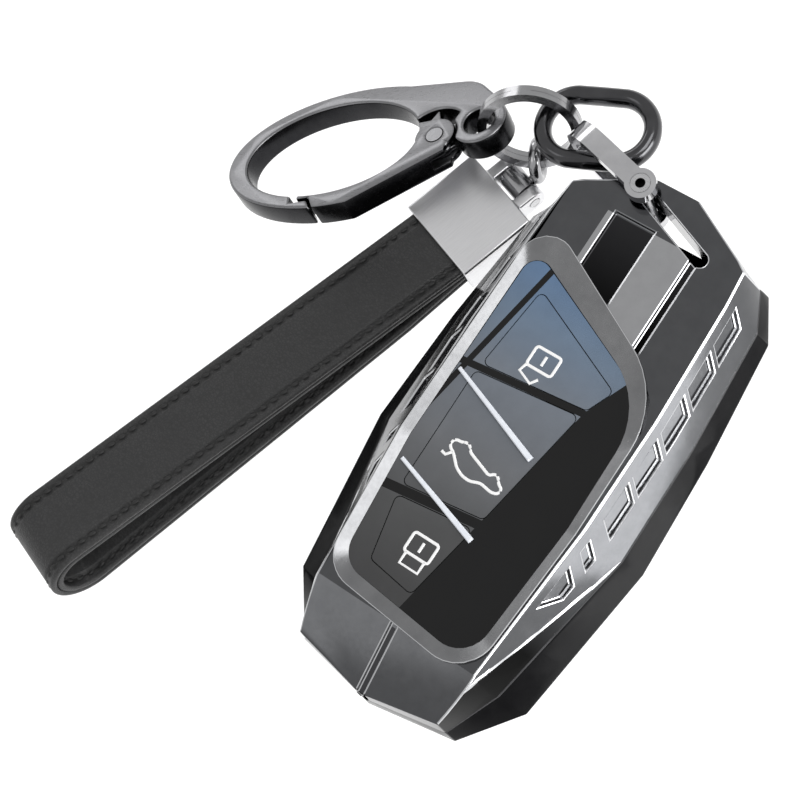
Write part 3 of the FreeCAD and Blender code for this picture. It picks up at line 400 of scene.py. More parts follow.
def beside_line(tree, coords, line, low, high):
    """One where a place lies between two distances to the left of an upright plane through a line."""
    start, left = line_side(line)
    distance = vector_arithmetic(tree, "DOT_PRODUCT", coords, left)["Value"]
    return within(tree, distance, left.dot(start) + low, left.dot(start) + high)


def all_of(tree, *masks):
    """One where every mask is one."""
    product = masks[0]
    for mask in masks[1:]:
        product = arithmetic(tree, "MULTIPLY", product, mask)
    return product


def mixed(tree, first, second, factor, blend="MIX"):
    """Second colour laid over the first as far as a factor says."""
    mix = tree.nodes.new("ShaderNodeMix")
    mix.data_type = "RGBA"
    mix.blend_type = blend
    feed(tree, mix.inputs["A"], first)
    feed(tree, mix.inputs["B"], second)
    feed(tree, mix.inputs["Factor"], factor)
    return mix.outputs["Result"]


def toned(tree, colour, mask, tone):
    """Colour with another tone laid over it where a mask is one."""
    return mixed(tree, colour, (*tone, 1.0), mask)


def clouded(tree, colour, coords, pattern, tone):
    """Colour broken by faint darker clouds."""
    clouds = tone_range(tree, noise_of(tree, coords, pattern), tone, (1, 1, 1))
    return mixed(tree, colour, clouds, 1.0, "MULTIPLY")


# Finishes

def plated(tree, shader, coords, rough_low, rough_high):
    """Uneven polish and a slight wave in the plating of a metal."""
    rough_range(tree, shader, noise_of(tree, coords, METAL_POLISH), rough_low, rough_high)
    relief(tree, shader, noise_of(tree, coords, METAL_WAVES), PLATING_RELIEF)
    shader.inputs["Metallic"].default_value = 1.0


def polished_metal(name, dark, light, rough_low, rough_high):
    """Plated metal with faint tone clouds."""
    mat, tree, shader, coords = finish_material(name)
    clouds = noise_of(tree, coords, METAL_CLOUDS)
    tree.links.new(tone_range(tree, clouds, dark, light), shader.inputs["Base Color"])
    plated(tree, shader, coords, rough_low, rough_high)
    return mat


def alloy_front(name, dark, light, bright, shade, rough_low, rough_high):
    """Black-chrome front with painted light: highlight strips on the top panels, and painted shade in the recess,
    on the foot end, in the foot groove and on the lower facets.
    """
    mat, tree, shader, coords = finish_material(name)
    colour = tone_range(tree, noise_of(tree, coords, METAL_CLOUDS), dark, light)
    x, y, z = axes_of(tree, coords)
    top = within(tree, z, RIDGE_Z - PANEL_TOP_UNDER, RIDGE_Z + PANEL_TOP_OVER)
    head = within(tree, y, PANEL_FOOT_Y, PANEL_HEAD_Y)
    # Painted highlight on the level strips of the top panels
    for low, high in HIGHLIGHT_STRIPS:
        strip = all_of(tree, top, head, within(tree, x, low, high))
        colour = toned(tree, colour, strip, bright)
    # Painted shade on the recess floors, deepening from the panels' head down to PANEL_DARK_Y
    between = within(tree, x, HIGHLIGHT_STRIPS[0][0], PANEL_GROOVE_END)
    sunk = within(tree, z, RIDGE_Z - RECESS_LOW, RIDGE_Z - RECESS_HIGH)
    recess_shade = all_of(tree, head, between, sunk)
    colour = toned(tree, colour, recess_shade, shade)
    depth = fade(tree, y, PANEL_HEAD_Y, PANEL_DARK_Y)
    colour = toned(tree, colour, all_of(tree, recess_shade, depth), DEEP_SHADE)
    # Painted shade on the foot end, in the foot groove and on the lower facets beside the foot ridges
    beyond = within(tree, y, FOOT_END_Y - FOOT_REACH, FOOT_END_Y)
    foot = within(tree, y, FOOT_END_Y - FOOT_REACH, FOOT_TOP_Y)
    groove = within(tree, x, -FOOT_GROOVE / 2, FOOT_GROOVE / 2)
    masks = [all_of(tree, beyond, within(tree, z, 0, FOOT_END_Z)), all_of(tree, foot, groove)]
    for line in FOOT_RIDGES:
        masks.append(all_of(tree, foot, beside_line(tree, coords, line, RIDGE_OFFSET, FACET_REACH)))
    for mask in masks:
        colour = toned(tree, colour, mask, shade)
    # Painted shade on the facets beyond the foot creases, deepening towards the foot
    depth = fade(tree, y, CREASE_TOP_Y, CREASE_DARK_Y)
    for line in FOOT_CREASES:
        outside = all_of(tree, depth, beside_line(tree, coords, line, 0, FACET_REACH))
        colour = toned(tree, colour, outside, DEEP_SHADE)
    colour = clouded(tree, colour, coords, FRONT_CLOUDS, FRONT_CLOUD_TONE)
    tree.links.new(colour, shader.inputs["Base Color"])
    plated(tree, shader, coords, rough_low, rough_high)
    return mat


def satin_metal(name, dark, light, rough_low, rough_high, turn=(0, 0, 0), socket=None):
    """Blasted metal with a fine grain and faint brushed lines, with painted shade in an upright socket where one
    is given.
    """
    mat, tree, shader, coords = finish_material(name)
    lines = noise_of(tree, stretched(tree, coords, BRUSHED_STREAK, turn), BRUSHED_LINES)
    colour = tone_range(tree, lines, dark, light)
    if socket is not None:
        # Painted shade in the screw's socket
        level = vector_arithmetic(tree, "MULTIPLY", coords, (1, 1, 0))["Vector"]
        away = vector_arithmetic(tree, "DISTANCE", level, (socket.x, socket.y, 0))["Value"]
        colour = toned(tree, colour, within(tree, away, 0, SOCKET_SHADE_RADIUS), DEEP_SHADE)
    tree.links.new(colour, shader.inputs["Base Color"])
    rough_range(tree, shader, lines, rough_low, rough_high)
    grain = relief(tree, shader, noise_of(tree, coords, METAL_GRAIN), BLASTED_RELIEF)
    relief(tree, shader, lines, BRUSHED_RELIEF, grain)
    shader.inputs["Metallic"].default_value = 1.0
    return mat


def gloss_black(name, dark, light, rough_low, rough_high):
    """Deep black lacquer with a faint orange-peel and dust-fine haze."""
    mat, tree, shader, coords = finish_material(name)
    clouds = noise_of(tree, coords, LACQUER_CLOUDS)
    tree.links.new(tone_range(tree, clouds, dark, light), shader.inputs["Base Color"])
    rough_range(tree, shader, noise_of(tree, coords, LACQUER_HAZE), rough_low, rough_high)
    relief(tree, shader, noise_of(tree, coords, LACQUER_PEEL), LACQUER_RELIEF)
    shader.inputs["Specular IOR Level"].default_value = LACQUER_SHINE
    return mat


def key_reflection_mask(tree, coords):
    """One where the painted soft-box reflection lies on the key's face: left of two slanted lines, without the
    dark gaps in the grooves' shade.
    """
    lit = [beside_line(tree, coords, line, 0, KEY_LIGHT_REACH) for line in KEY_LIGHT_EDGES]
    gloss = arithmetic(tree, "MAXIMUM", *lit)
    for line, width in KEY_GAPS:
        gap = beside_line(tree, coords, line, -width / 2, width / 2)
        gloss = arithmetic(tree, "SUBTRACT", gloss, gap, clamp=True)
    return gloss


def key_face(name, black=None):
    """Gloss face of the key with a painted soft-box reflection, blue at the unlock end and dark at the lock end,
    and black outside the painted reflection when a black is given.
    """
    mat, tree, shader, coords = finish_material(name)
    along = fade(tree, axes_of(tree, coords)["Y"], KEY_FOOT_Y, KEY_HEAD_Y)
    reflection_tint = colour_range(tree, along, KEY_REFLECTION_TINTS)
    if black is not None:
        reflection_tint = mixed(tree, (*black, 1.0), reflection_tint, key_reflection_mask(tree, coords))
    tree.links.new(clouded(tree, reflection_tint, coords, KEY_CLOUDS, KEY_CLOUD_TONE), shader.inputs["Base Color"])
    haze = noise_of(tree, coords, KEY_HAZE)
    rough_range(tree, shader, haze, *KEY_ROUGHNESS)
    relief(tree, shader, haze, KEY_RELIEF)
    shader.inputs["Specular IOR Level"].default_value = KEY_SHINE
    return mat


def plain_moulding(name, dark, light, rough_low, rough_high, scale):
    """Moulded or coated surface with fine speckle."""
    mat, tree, shader, coords = finish_material(name)
    speckle = noise_of(tree, coords, (scale, *MOULDING_NOISE))
    colour = tone_range(tree, speckle, dark, light, *MOULDING_STOPS)
    tree.links.new(colour, shader.inputs["Base Color"])
    rough_range(tree, shader, speckle, rough_low, rough_high)
    relief(tree, shader, speckle, MOULDING_RELIEF)
    return mat


def stitch_groove(tree, coords):
    """Nought along the two stitch rows of the strap and one away from them."""
    away = vector_arithmetic(tree, "DOT_PRODUCT", coords, STRAP_ACROSS)["Value"]
    for offset in (STRAP_HINGE.dot(STRAP_ACROSS), STITCH_ROW):
        away = arithmetic(tree, "ABSOLUTE", arithmetic(tree, "SUBTRACT", away, offset))
    return fade(tree, away, 0, STITCH_GROOVE, kind="SMOOTHSTEP")


def leather_grain(name, dark, light):
    """Fine-grained black leather: pebbled cells, rubbed high spots, creases, and sunk seams with painted shade
    along them.
    """
    mat, tree, shader, coords = finish_material(name)
    cloud = tree.nodes.new("ShaderNodeTexNoise")
    cloud.inputs["Scale"].default_value = LEATHER_WARP
    tree.links.new(coords, cloud.inputs["Vector"])
    warp = vector_arithmetic(tree, "MULTIPLY_ADD", cloud.outputs["Color"], LEATHER_SHIFT, coords)
    cells = tree.nodes.new("ShaderNodeTexVoronoi")
    cells.feature = "DISTANCE_TO_EDGE"
    cells.inputs["Scale"].default_value = LEATHER_CELLS
    tree.links.new(warp["Vector"], cells.inputs["Vector"])
    pebble = fade(tree, cells.outputs["Distance"], 0, LEATHER_CELL_EDGE)
    rub = noise_of(tree, coords, LEATHER_RUB)
    colour = tone_range(tree, arithmetic(tree, "MULTIPLY", pebble, rub), dark, light, *LEATHER_STOPS)
    groove = stitch_groove(tree, coords)
    # Painted shade along the sunk stitch rows
    seam_shade = fade(tree, groove, 1, 0)
    tree.links.new(toned(tree, colour, seam_shade, DEEP_SHADE), shader.inputs["Base Color"])
    rough_range(tree, shader, rub, *LEATHER_ROUGHNESS)
    creases = noise_of(tree, stretched(tree, coords, LEATHER_CREASE_SIZE, STRAP_TURN), LEATHER_CREASES)
    lower = relief(tree, shader, pebble, PEBBLE_RELIEF)
    lower = relief(tree, shader, creases, CREASE_RELIEF, lower)
    relief(tree, shader, groove, SEAM_RELIEF, lower)
    shader.inputs["Specular IOR Level"].default_value = LEATHER_SHINE
    return mat


# Finishes of the pieces: tones, then least and greatest roughness
# Black chrome: its own two tones, then a painted highlight and a painted shade, then roughness
GUNMETAL = alloy_front("black_chrome", (0.102, 0.104, 0.109), (0.114, 0.116, 0.121), (0.43, 0.433, 0.443),
                       (0.035, 0.035, 0.037), 0.1, 0.16)
BEZEL_CHROME = polished_metal("bezel_chrome", (0.21, 0.212, 0.218), (0.25, 0.252, 0.258), 0.2, 0.28)
# Painted highlight on the front's broken edges, its creases and the bezel's crest
EDGE_HIGHLIGHT = polished_metal("edge_painted_highlight", (0.58, 0.585, 0.60), (0.68, 0.685, 0.70), 0.16, 0.24)
REAR_BLACK = gloss_black("rear_gloss_black", (0.004, 0.004, 0.0045), (0.008, 0.008, 0.0085), 0.1, 0.18)
# Painted highlight on the rear cover's broken edges, a lighter copy of its black lacquer
REAR_EDGE_HIGHLIGHT = gloss_black("rear_edge_highlight", (0.05, 0.05, 0.052), (0.08, 0.08, 0.083), 0.14, 0.22)
# The key's face and its buttons carry a painted soft-box reflection
KEYPAD = key_face("keypad_black", (0.005, 0.005, 0.0052))
BUTTON = key_face("button_painted_reflection")
KEY_BACK = plain_moulding("key_back_moulding", (0.014, 0.014, 0.015), (0.026, 0.026, 0.028),
                          0.45, 0.6, 2600.0)
BAR_SILVER = plain_moulding("bar_silver", (0.74, 0.77, 0.83), (0.80, 0.83, 0.88), 0.18, 0.28, 900.0)
BOARD_GREEN = plain_moulding("board_mask", (0.02, 0.12, 0.05), (0.035, 0.19, 0.08), 0.3, 0.45, 1500.0)
SWITCH_BODY = plain_moulding("switch_body", (0.02, 0.02, 0.02), (0.05, 0.05, 0.05), 0.4, 0.55, 1800.0)
CELL_STEEL = satin_metal("cell_steel", (0.52, 0.52, 0.53), (0.66, 0.66, 0.67), 0.25, 0.38)
SHACKLE_POLISH = polished_metal("shackle_polish", (0.52, 0.52, 0.532), (0.60, 0.60, 0.612), 0.1, 0.16)
SCREW_STEEL = satin_metal("screw_steel", (0.54, 0.54, 0.55), (0.60, 0.60, 0.61), 0.24, 0.34)
# Screw steel with painted shade in its socket
SOCKET_STEEL = satin_metal("socket_steel", (0.54, 0.54, 0.55), (0.60, 0.60, 0.61), 0.24, 0.34,
                           socket=SCREW_PLACE)
DARK_POLISH = polished_metal("dark_polish", (0.07, 0.07, 0.073), (0.09, 0.09, 0.094), 0.12, 0.2)
RING_STEEL = polished_metal("ring_steel", (0.36, 0.36, 0.368), (0.42, 0.42, 0.43), 0.14, 0.22)
SNAP_SATIN = satin_metal("snap_ring_satin", (0.215, 0.215, 0.223), (0.245, 0.245, 0.254), 0.26, 0.36,
                         SNAP_TURN)
# Painted shade on the snap ring's upright sides, a near-black copy of its metal
SNAP_SIDE_SHADE = polished_metal("snap_ring_side_shade", (0.022, 0.022, 0.024), (0.034, 0.034, 0.036), 0.2, 0.3)
CLASP_SATIN = satin_metal("clasp_satin", (0.72, 0.72, 0.732), (0.78, 0.78, 0.792), 0.3, 0.4, STRAP_TURN)
LEATHER = leather_grain("black_leather", (0.021, 0.021, 0.0214), (0.036, 0.036, 0.0365))
THREAD = plain_moulding("black_thread", (0.004, 0.004, 0.004), (0.014, 0.014, 0.014), 0.5, 0.65, 5200.0)
SYMBOL_WHITE = plain_moulding("symbol_white", (0.86, 0.86, 0.86), (0.92, 0.92, 0.92), 0.4, 0.5, 2400.0)

# Nodes whose solids are shown as they are
PLAIN_NODES = (
    (KEYPAD, ("key_front_shell",)),
    (KEY_BACK, ("key_rear_shell",)),
    (BUTTON, ("unlock_button", "trunk_button", "lock_button")),
    (BAR_SILVER, ("upper_divider_bar", "lower_divider_bar")),
    (BOARD_GREEN, ("circuit_board",)),
    (SWITCH_BODY, ("tact_switches",)),
    (CELL_STEEL, ("coin_cell",)),
    (SHACKLE_POLISH, ("shackle",)),
    (SOCKET_STEEL, ("shackle_screw",)),
    (RING_STEEL, ("split_ring", "strap_link")),
    (SNAP_SATIN, ("gate_pin",)),
    (SCREW_STEEL, ("gate_spring", "hinge_pin")),
)


# Handling of pieces

def leave_edit():
    """Back to object mode with nothing selected."""
    if bpy.context.mode != "OBJECT":
        bpy.ops.object.mode_set(mode="OBJECT")
    bpy.ops.object.select_all(action="DESELECT")


def make_active(obj):
    """Select one object only."""
    leave_edit()
    obj.select_set(True)
    bpy.context.view_layer.objects.active = obj


def edit_all(piece):
    """Edit mode on a piece with all of it selected."""
    make_active(piece)
    bpy.ops.object.mode_set(mode="EDIT")
    bpy.ops.mesh.select_all(action="SELECT")


def pick_none(piece, kind):
    """Piece made active with none of its vertices or faces selected."""
    make_active(piece)
    bpy.ops.object.mode_set(mode="EDIT")
    bpy.ops.mesh.select_mode(type=kind)
    bpy.ops.mesh.select_all(action="DESELECT")
    bpy.ops.object.mode_set(mode="OBJECT")


def pick_vertices(piece, wanted):
    """Edit mode on a piece with the wanted vertices selected, chosen by their place."""
    pick_none(piece, "VERT")
    for vertex in piece.data.vertices:
        vertex.select = wanted(vertex.co)
    bpy.ops.object.mode_set(mode="EDIT")


def pick_faces(piece, wanted):
    """Edit mode on a piece with the wanted faces selected."""
    pick_none(piece, "FACE")
    for polygon in piece.data.polygons:
        polygon.select = wanted(polygon)
    bpy.ops.object.mode_set(mode="EDIT")


def smooth_by_angle(piece, angle):
    """Edges under an angle shaded round."""
    make_active(piece)
    bpy.ops.object.shade_smooth_by_angle(angle=angle)


def finish_with(piece, *materials):
    """Finishes of a piece, in place of any that it has."""
    piece.data.materials.clear()
    for material in materials:
        piece.data.materials.append(material)


def joined(pieces, name):
    """Several pieces made one."""
    make_active(pieces[0])
    for piece in pieces:
        piece.select_set(True)
    bpy.ops.object.join()
    pieces[0].name = name
    return pieces[0]


def chain_of_edges(points, height):
    """Edges from point to point at a height, in edit mode with all of them selected."""
    leave_edit()
    bpy.ops.mesh.primitive_plane_add(size=MM, location=(*points[0], height))
    chain = bpy.context.object
    bpy.ops.object.transform_apply(location=True)
    bpy.ops.object.mode_set(mode="EDIT")
    bpy.ops.mesh.merge(type="CENTER")
    for start, end in zip(points, points[1:]):
        step = (end[0] - start[0], end[1] - start[1], 0)
        bpy.ops.mesh.extrude_vertices_move(TRANSFORM_OT_translate={"value": step})
    bpy.ops.mesh.select_all(action="SELECT")
    return chain


def round_bar(piece, thickness, roundness, height, flatness):
    """Edges of a piece made a round bar, pressed towards a height."""
    make_active(piece)
    bpy.ops.object.convert(target="CURVE")
    piece.data.bevel_depth = thickness / 2
    piece.data.bevel_resolution = roundness
    piece.data.use_fill_caps = True
    bpy.ops.object.convert(target="MESH")
    edit_all(piece)
    bpy.ops.transform.resize(value=(1, 1, flatness), center_override=(0, 0, height))


def body_of(node):
    """Name of the rigid body that holds a node."""
    for body, nodes in frame["record"]["behaviour"]["bodies"].items():
        if node in nodes:
            return body
    return ""


# Pieces taken over from the solids

def broken_edges(node, name, width, materials, angle=CORNER_ANGLE, segments=3, smooth=BODY_SMOOTH):
    """Copy of a node's solid with its sharp edges broken, the breaks in the last material, which on the covers is
    a painted edge highlight.
    """
    copy = frame["nodes"][node].copy()
    copy.data = frame["nodes"][node].data.copy()
    copy.name = name
    bpy.context.scene.collection.objects.link(copy)
    copy.parent = None
    make_active(copy)
    bpy.ops.mesh.customdata_custom_splitnormals_clear()
    finish_with(copy, *materials)
    edit_all(copy)
    bpy.ops.mesh.remove_doubles(threshold=HAIR)
    bpy.ops.mesh.dissolve_limited(angle_limit=FLAT_ANGLE)
    make_active(copy)
    for polygon in copy.data.polygons:
        polygon.material_index = 0
    bevel = copy.modifiers.new("broken_edges", "BEVEL")
    bevel.width = width
    bevel.segments = segments
    bevel.limit_method = "ANGLE"
    bevel.angle_limit = angle
    bevel.use_clamp_overlap = False
    if len(materials) > 1:
        bevel.material = len(materials) - 1
    bpy.ops.object.modifier_apply(modifier=bevel.name)
    smooth_by_angle(copy, smooth)
    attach(copy, body_of(node))
    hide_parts(node)
    return copy


def lower_bed(cover):
    """Narrow bezel of the front's solid pressed down to a sloped bed for the broad one."""
    raised = RIDGE_Z + RAISED_LEAST
    strip_left, strip_right = HIGHLIGHT_STRIPS[0]
    panel_left = HIGHLIGHT_STRIPS[1][0]
    # Painted edge highlight left off the faces that rise over the ridge, the foot end and the plain faces by the
    # recess
    for polygon in cover.data.polygons:
        tallest = max(cover.data.vertices[index].co.z for index in polygon.vertices)
        place = polygon.center
        beside_recess = strip_left - RECESS_MARGIN < place.x < strip_right + RECESS_MARGIN
        over_recess = strip_left < place.x < panel_left and place.y > PANEL_HEAD_Y - RECESS_HEAD
        plain = place.y > PANEL_FOOT_Y and (beside_recess or over_recess)
        if tallest > raised or place.y < FOOT_END_Y or plain:
            polygon.material_index = 0
    pick_vertices(cover, lambda place: place.z > BEZEL_CREST_Z - BEZEL_RIM)
    bpy.ops.transform.resize(value=(1, 1, 0), center_override=(0, 0, BEZEL_BED_Z))
    pick_vertices(cover, lambda place: place.z > raised)
    bpy.ops.transform.resize(value=(1, 1, 0), center_override=(0, 0, RIDGE_Z))
    leave_edit()


def foot_crease(cover, line):
    """Raised crease with a painted highlight across the side facets at one side of the foot."""
    start, outward = line_side(line)
    across = outward.dot(start)

    def on_facet(face):
        """True for an outer face of the side facets at the foot."""
        place = face.center
        outside = face.normal.dot(outward) > FACET_FACING and place.dot(outward) > COVER_HALF
        return outside and place.y < CREASE_TOP_Y and place.z < RIDGE_Z and face.material_index == 0

    def on_crest(place):
        """True for a vertex of the cut along the crease."""
        return abs(place.dot(outward) - across) < HAIR and place.y < CREASE_TOP_Y

    for offset in (-CREASE_WIDTH / 2, 0, CREASE_WIDTH / 2):
        pick_faces(cover, on_facet)
        bpy.ops.mesh.bisect(plane_co=start + outward * offset, plane_no=outward)
    leave_edit()
    # Painted highlight on the crease's strip
    for polygon in cover.data.polygons:
        if on_facet(polygon) and abs(polygon.center.dot(outward) - across) < CREASE_WIDTH / 2:
            polygon.material_index = 1
    pick_vertices(cover, on_crest)
    bpy.ops.transform.translate(value=outward * CREASE_RISE)
    leave_edit()


def front_alloy():
    """Front cover with painted highlights on its broken edges, the bed of its bezel and the creases at its foot.
    """
    front = broken_edges("front_cover", "front_cover_alloy", FRONT_BREAK, (GUNMETAL, EDGE_HIGHLIGHT),
                         FACET_ANGLE, 2, FACET_SMOOTH)
    lower_bed(front)
    for line in FOOT_CREASES:
        foot_crease(front, line)
    smooth_by_angle(front, FACET_SMOOTH)


def shaded_sides(piece, up, material):
    """Painted shade, as a second material, on the faces of a piece that stand square to its flat faces."""
    piece.data.materials.append(material)
    for polygon in piece.data.polygons:
        if abs(polygon.normal.dot(up)) < SIDE_FACING:
            polygon.material_index = len(piece.data.materials) - 1


def dress_solids():
    """Finish of every piece that keeps its solid's shape."""
    front_alloy()
    broken_edges("rear_cover", "rear_cover_black", REAR_BREAK, (REAR_BLACK, REAR_EDGE_HIGHLIGHT),
                 FACET_ANGLE, 2, FACET_SMOOTH)
    for material, nodes in PLAIN_NODES:
        for node in nodes:
            finish_with(frame["nodes"][node], material)
    snap_body = broken_edges("snap_ring_frame", "snap_ring_body", SNAP_BREAK, (SNAP_SATIN,))
    snap_gate = broken_edges("snap_gate", "snap_ring_gate", GATE_BREAK, (SNAP_SATIN,), segments=2)
    for piece in (snap_body, snap_gate):
        shaded_sides(piece, SNAP_UP, SNAP_SIDE_SHADE)
    broken_edges("strap_clasp", "strap_clasp_body", CLASP_BREAK, (CLASP_SATIN,))
    broken_edges("strap_leather", "strap_outer_ply", LEATHER_BREAK, (LEATHER,), segments=4)
    broken_edges("strap_lining", "strap_inner_ply", LINING_BREAK, (LEATHER,))


# Link ring

def round_link():
    """Oval ring with a full round section, within its flat-sided solid."""
    low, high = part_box("link_ring")
    centre = (low + high) / 2
    leave_edit()
    radius = (LINK_BREADTH - LINK_BAR) / 2
    bpy.ops.mesh.primitive_circle_add(vertices=LINK_STEPS, radius=radius, location=centre)
    ring = bpy.context.object
    ring.name = "link_ring_round"
    bpy.ops.object.transform_apply(location=True)
    for way in (LINK_ALONG, -LINK_ALONG):
        pick_vertices(ring, lambda place: (place - centre).dot(way) > HAIR)
        bpy.ops.transform.translate(value=way * (LINK_LENGTH - LINK_BREADTH) / 2)
    round_bar(ring, LINK_BAR, LINK_ROUNDNESS, centre.z, (high.z - low.z) / LINK_BAR)
    bpy.ops.mesh.normals_make_consistent(inside=False)
    make_active(ring)
    bpy.ops.object.shade_smooth()
    finish_with(ring, DARK_POLISH)
    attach(ring, body_of("link_ring"))
    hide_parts("link_ring")


# Bezel of the window

def rounded_outline(corners, radii):
    """Points of a closed outline with a round at each corner."""
    points = []
    for index, radius in enumerate(radii):
        corner = Vector(corners[index])
        before = (Vector(corners[index - 1]) - corner).normalized()
        after = (Vector(corners[(index + 1) % len(corners)]) - corner).normalized()
        half = before.angle(after) / 2
        middle = corner + (before + after).normalized() * radius / sin(half)
        start = corner + before * radius / tan(half) - middle
        end = corner + after * radius / tan(half) - middle
        for step in range(BEZEL_ROUND_STEPS + 1):
            spoke = start.lerp(end, step / BEZEL_ROUND_STEPS).normalized() * radius
            points.append(tuple((middle + spoke) * MM))
    return points


def bezel_loop(corners, radii, height):
    """One closed edge of the bezel at a height."""
    loop = chain_of_edges(rounded_outline(corners, radii), height)
    bpy.ops.mesh.edge_face_add()
    bpy.ops.mesh.delete(type="ONLY_FACE")
    leave_edit()
    return loop


def window_bezel():
    """Broad bezel that falls from a sharp crest to the key's face."""
    crest = bezel_loop(BEZEL_CREST_CORNERS, BEZEL_CREST_RADII, BEZEL_CREST_Z)
    foot = bezel_loop(BEZEL_FOOT_CORNERS, BEZEL_FOOT_RADII, BEZEL_FOOT_Z)
    bezel = joined((crest, foot), "window_bezel")
    finish_with(bezel, BEZEL_CHROME, EDGE_HIGHLIGHT)
    edit_all(bezel)
    bpy.ops.mesh.bridge_edge_loops()

    def on_crest(place):
        """True for a vertex of the bezel's crest."""
        return place.z > BEZEL_CREST_Z - HAIR

    pick_vertices(bezel, on_crest)
    bpy.ops.mesh.extrude_edges_move(TRANSFORM_OT_translate={"value": (0, 0, -BEZEL_SKIRT)})
    pick_vertices(bezel, on_crest)
    # Painted highlight on the bezel's bevelled crest
    bpy.ops.mesh.bevel(offset=BEZEL_EDGE, segments=BEZEL_EDGE_STEPS, affect="EDGES", material=1)
    bpy.ops.mesh.select_all(action="SELECT")
    bpy.ops.mesh.normals_make_consistent(inside=False)
    smooth_by_angle(bezel, BEZEL_SMOOTH)
    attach(bezel, "cover")


# Stitching on the strap

def strap_side(skin):
    """Side view of the strap at a depth under its outer face: flat run, round far end and rising run."""
    start = strap_reach("strap_clasp", STRAP_ALONG)
    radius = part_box("strap_leather")[1].z / 2
    turn = strap_reach("strap_leather", STRAP_ALONG) - radius
    thick = 2 * STRAP_PLY
    points = [Vector((start, STRAP_HINGE.z - thick + skin)), Vector((start + STRAP_FLAT_START, skin))]
    for step in range(STRAP_END_STEPS + 1):
        angle = pi * step / STRAP_END_STEPS - pi / 2
        points.append(Vector((turn + (radius - skin) * cos(angle), radius + (radius - skin) * sin(angle))))
    points.append(Vector((start, STRAP_HINGE.z + thick - skin)))
    return points


def places_along(points, pitch):
    """Places and directions at an even pitch along a chain of points."""
    places = []
    ahead = pitch
    for start, end in zip(points, points[1:]):
        length = (end - start).length
        while ahead < length:
            places.append((start.lerp(end, ahead / length), (end - start).normalized()))
            ahead += pitch
        ahead -= length
    return places


def one_stitch():
    """Single stitch of thread, lying along X."""
    leave_edit()
    radius = STITCH_LENGTH / 2
    bpy.ops.mesh.primitive_uv_sphere_add(segments=STITCH_SIDES, ring_count=STITCH_RINGS, radius=radius)
    stitch = bpy.context.object
    edit_all(stitch)
    flat = (1, STITCH_WIDTH / STITCH_LENGTH, STITCH_HEIGHT / STITCH_LENGTH)
    bpy.ops.transform.resize(value=flat)
    make_active(stitch)
    bpy.ops.object.shade_smooth()
    finish_with(stitch, THREAD)
    return stitch


def strap_stitching():
    """Rows of stitches along both edges of the strap, on its outer and its inner face."""
    first = one_stitch()
    foot = Vector((STRAP_HINGE.x, STRAP_HINGE.y, 0))
    slant = Matrix.Rotation(STITCH_SLANT, 4, "Z")
    stitches = []
    for skin in (STITCH_SEAT, 2 * STRAP_PLY - STITCH_SEAT):
        for place, way in places_along(strap_side(skin), STITCH_PITCH):
            heading = STRAP_ALONG * way.x + UP * way.y
            turn = Matrix((heading, STRAP_ACROSS, heading.cross(STRAP_ACROSS))).transposed().to_4x4()
            for side in (-STITCH_ROW, STITCH_ROW):
                spot = foot + STRAP_ALONG * place.x + STRAP_ACROSS * side + UP * place.y
                stitch = first.copy()
                stitch.data = first.data.copy()
                stitch.matrix_world = Matrix.Translation(spot) @ turn @ slant
                bpy.context.scene.collection.objects.link(stitch)
                stitches.append(stitch)
    bpy.data.objects.remove(first)
    stitching = joined(stitches, "strap_stitching")
    bpy.ops.object.transform_apply(location=True, rotation=True, scale=True)
    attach(stitching, "strap")


# Symbols on the buttons

def drawn_line(points, closed):
    """Round line through points on the buttons' caps, pressed flat."""
    line = chain_of_edges(points, BUTTON_TOP)
    if closed:
        bpy.ops.mesh.edge_face_add()
        bpy.ops.mesh.bevel(offset=SYMBOL_LINE, segments=SYMBOL_CORNER_STEPS, affect="VERTICES")
        bpy.ops.mesh.delete(type="ONLY_FACE")
    round_bar(line, SYMBOL_LINE, SYMBOL_ROUNDNESS, BUTTON_TOP, SYMBOL_FLATNESS)
    leave_edit()
    return line


def symbol(name, body, lines):
    """White symbol of several lines, printed on one button."""
    printed = joined([drawn_line(points, closed) for points, closed in lines], name)
    finish_with(printed, SYMBOL_WHITE)
    smooth_by_angle(printed, SYMBOL_SMOOTH)
    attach(printed, body)


def padlock(name, body, centre, bow):
    """Padlock: case, keyhole and bow; the bow's points are taken from the case's near corner."""
    x, y = centre
    half, deep = PADLOCK_WIDTH / 2, PADLOCK_DEPTH / 2
    case = [(x - half, y - deep), (x + half, y - deep), (x + half, y + deep), (x - half, y + deep)]
    keyhole = [(x, y - KEYHOLE / 2), (x, y + KEYHOLE / 2)]
    bow_line = [(x - half + dx * MM, y - deep + dy * MM) for dx, dy in bow]
    symbol(name, body, ((case, True), (keyhole, False), (bow_line, False)))


def car_symbol():
    """Car seen from the side with its boot lid up, on the trunk button."""
    front = Vector((cos(CAR_TURN), sin(CAR_TURN))) * MM
    roof = Vector((sin(CAR_TURN), -cos(CAR_TURN))) * MM
    lines = [([tuple(Vector(CAR_CENTRE) + front * u + roof * v) for u, v in chain], closed)
             for chain, closed in ((CAR_OUTLINE, True), (CAR_LID, False))]
    symbol("trunk_symbol", "trunk", lines)


def button_symbols():
    """Open padlock, car and shut padlock."""
    padlock("unlock_symbol", "unlock", UNLOCK_CENTRE, UNLOCK_BOW)
    car_symbol()
    padlock("lock_symbol", "lock", LOCK_CENTRE, LOCK_BOW)


# Studio

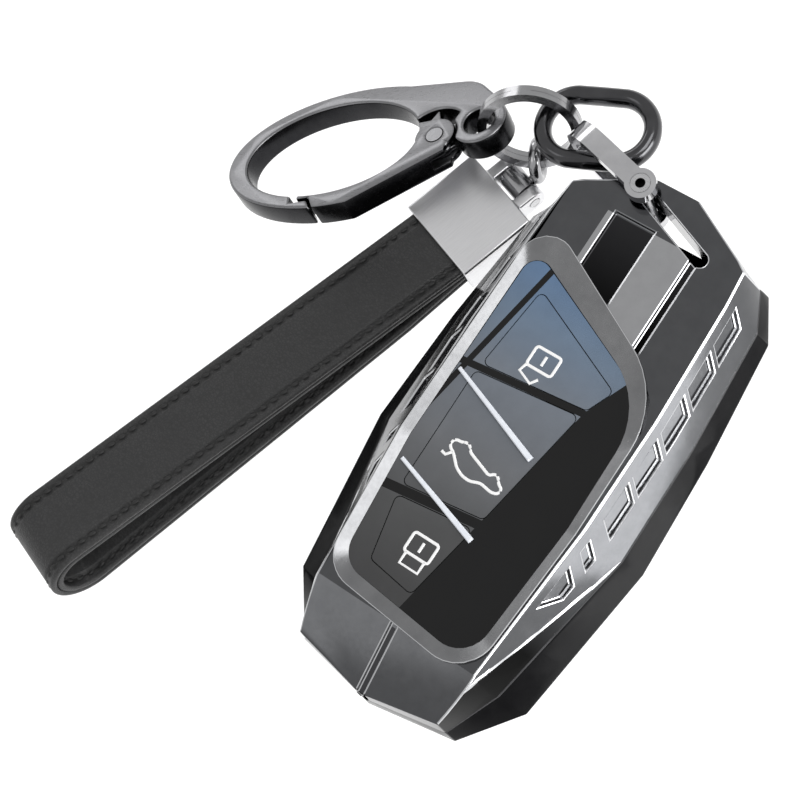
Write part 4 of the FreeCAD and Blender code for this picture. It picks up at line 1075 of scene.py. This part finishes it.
def studio_floor():
    """Pale floor far under the object, lifted to white where the camera or bright metal sees it."""
    mat, tree, shader, coords = finish_material("pale_floor")
    clouds = tone_range(tree, noise_of(tree, coords, FLOOR_CLOUDS), FLOOR_DARK, FLOOR_LIGHT)
    tree.links.new(clouds, shader.inputs["Base Color"])
    shader.inputs["Roughness"].default_value = FLOOR_ROUGHNESS
    path = tree.nodes.new("ShaderNodeLightPath").outputs
    seen = arithmetic(tree, "MAXIMUM", path["Is Camera Ray"], path["Is Glossy Ray"])
    shader.inputs["Emission Color"].default_value = WHITE
    tree.links.new(arithmetic(tree, "MULTIPLY", seen, FLOOR_LIFT), shader.inputs["Emission Strength"])
    leave_edit()
    bpy.ops.mesh.primitive_plane_add(size=FLOOR_SIZE, location=(0, 0, FLOOR_Z))
    floor = bpy.context.object
    floor.name = "studio_floor"
    floor.data.materials.append(mat)


def soft_lamp(name, place, target, width, height, watts):
    """Rectangular soft box aimed at a point."""
    lamp = bpy.data.lights.new(name, "AREA")
    lamp.shape = "RECTANGLE"
    lamp.size = width
    lamp.size_y = height
    lamp.energy = watts
    obj = bpy.data.objects.new(name, lamp)
    bpy.context.scene.collection.objects.link(obj)
    obj.location = place
    aim = Vector(target) - Vector(place)
    obj.rotation_euler = aim.to_track_quat("-Z", "Y").to_euler()


def studio_light():
    """Soft boxes above, at the right, low beside the right facets, and at the left, in a pale room."""
    world = bpy.data.worlds.new("studio_room")
    bpy.context.scene.world = world
    world.use_nodes = True
    background = world.node_tree.nodes["Background"]
    background.inputs["Color"].default_value = WHITE
    background.inputs["Strength"].default_value = ROOM_LIGHT
    for lamp in STUDIO_LAMPS:
        soft_lamp(*lamp)


def studio_camera():
    """Camera that looks down on the object, turned so that the cover stands on a slant."""
    lens = bpy.data.cameras.new("studio_camera")
    lens.angle = CAMERA_ANGLE
    lens.clip_start = CAMERA_NEAR
    camera = bpy.data.objects.new("studio_camera", lens)
    bpy.context.scene.collection.objects.link(camera)
    camera.matrix_world = Matrix.LocRotScale(CAMERA_PLACE, CAMERA_TURN, None)
    bpy.context.scene.camera = camera


dress_solids()
round_link()
window_bezel()
strap_stitching()
button_symbols()
studio_floor()
studio_light()
studio_camera()
bpy.context.scene.view_settings.view_transform = "Standard"
leave_edit()
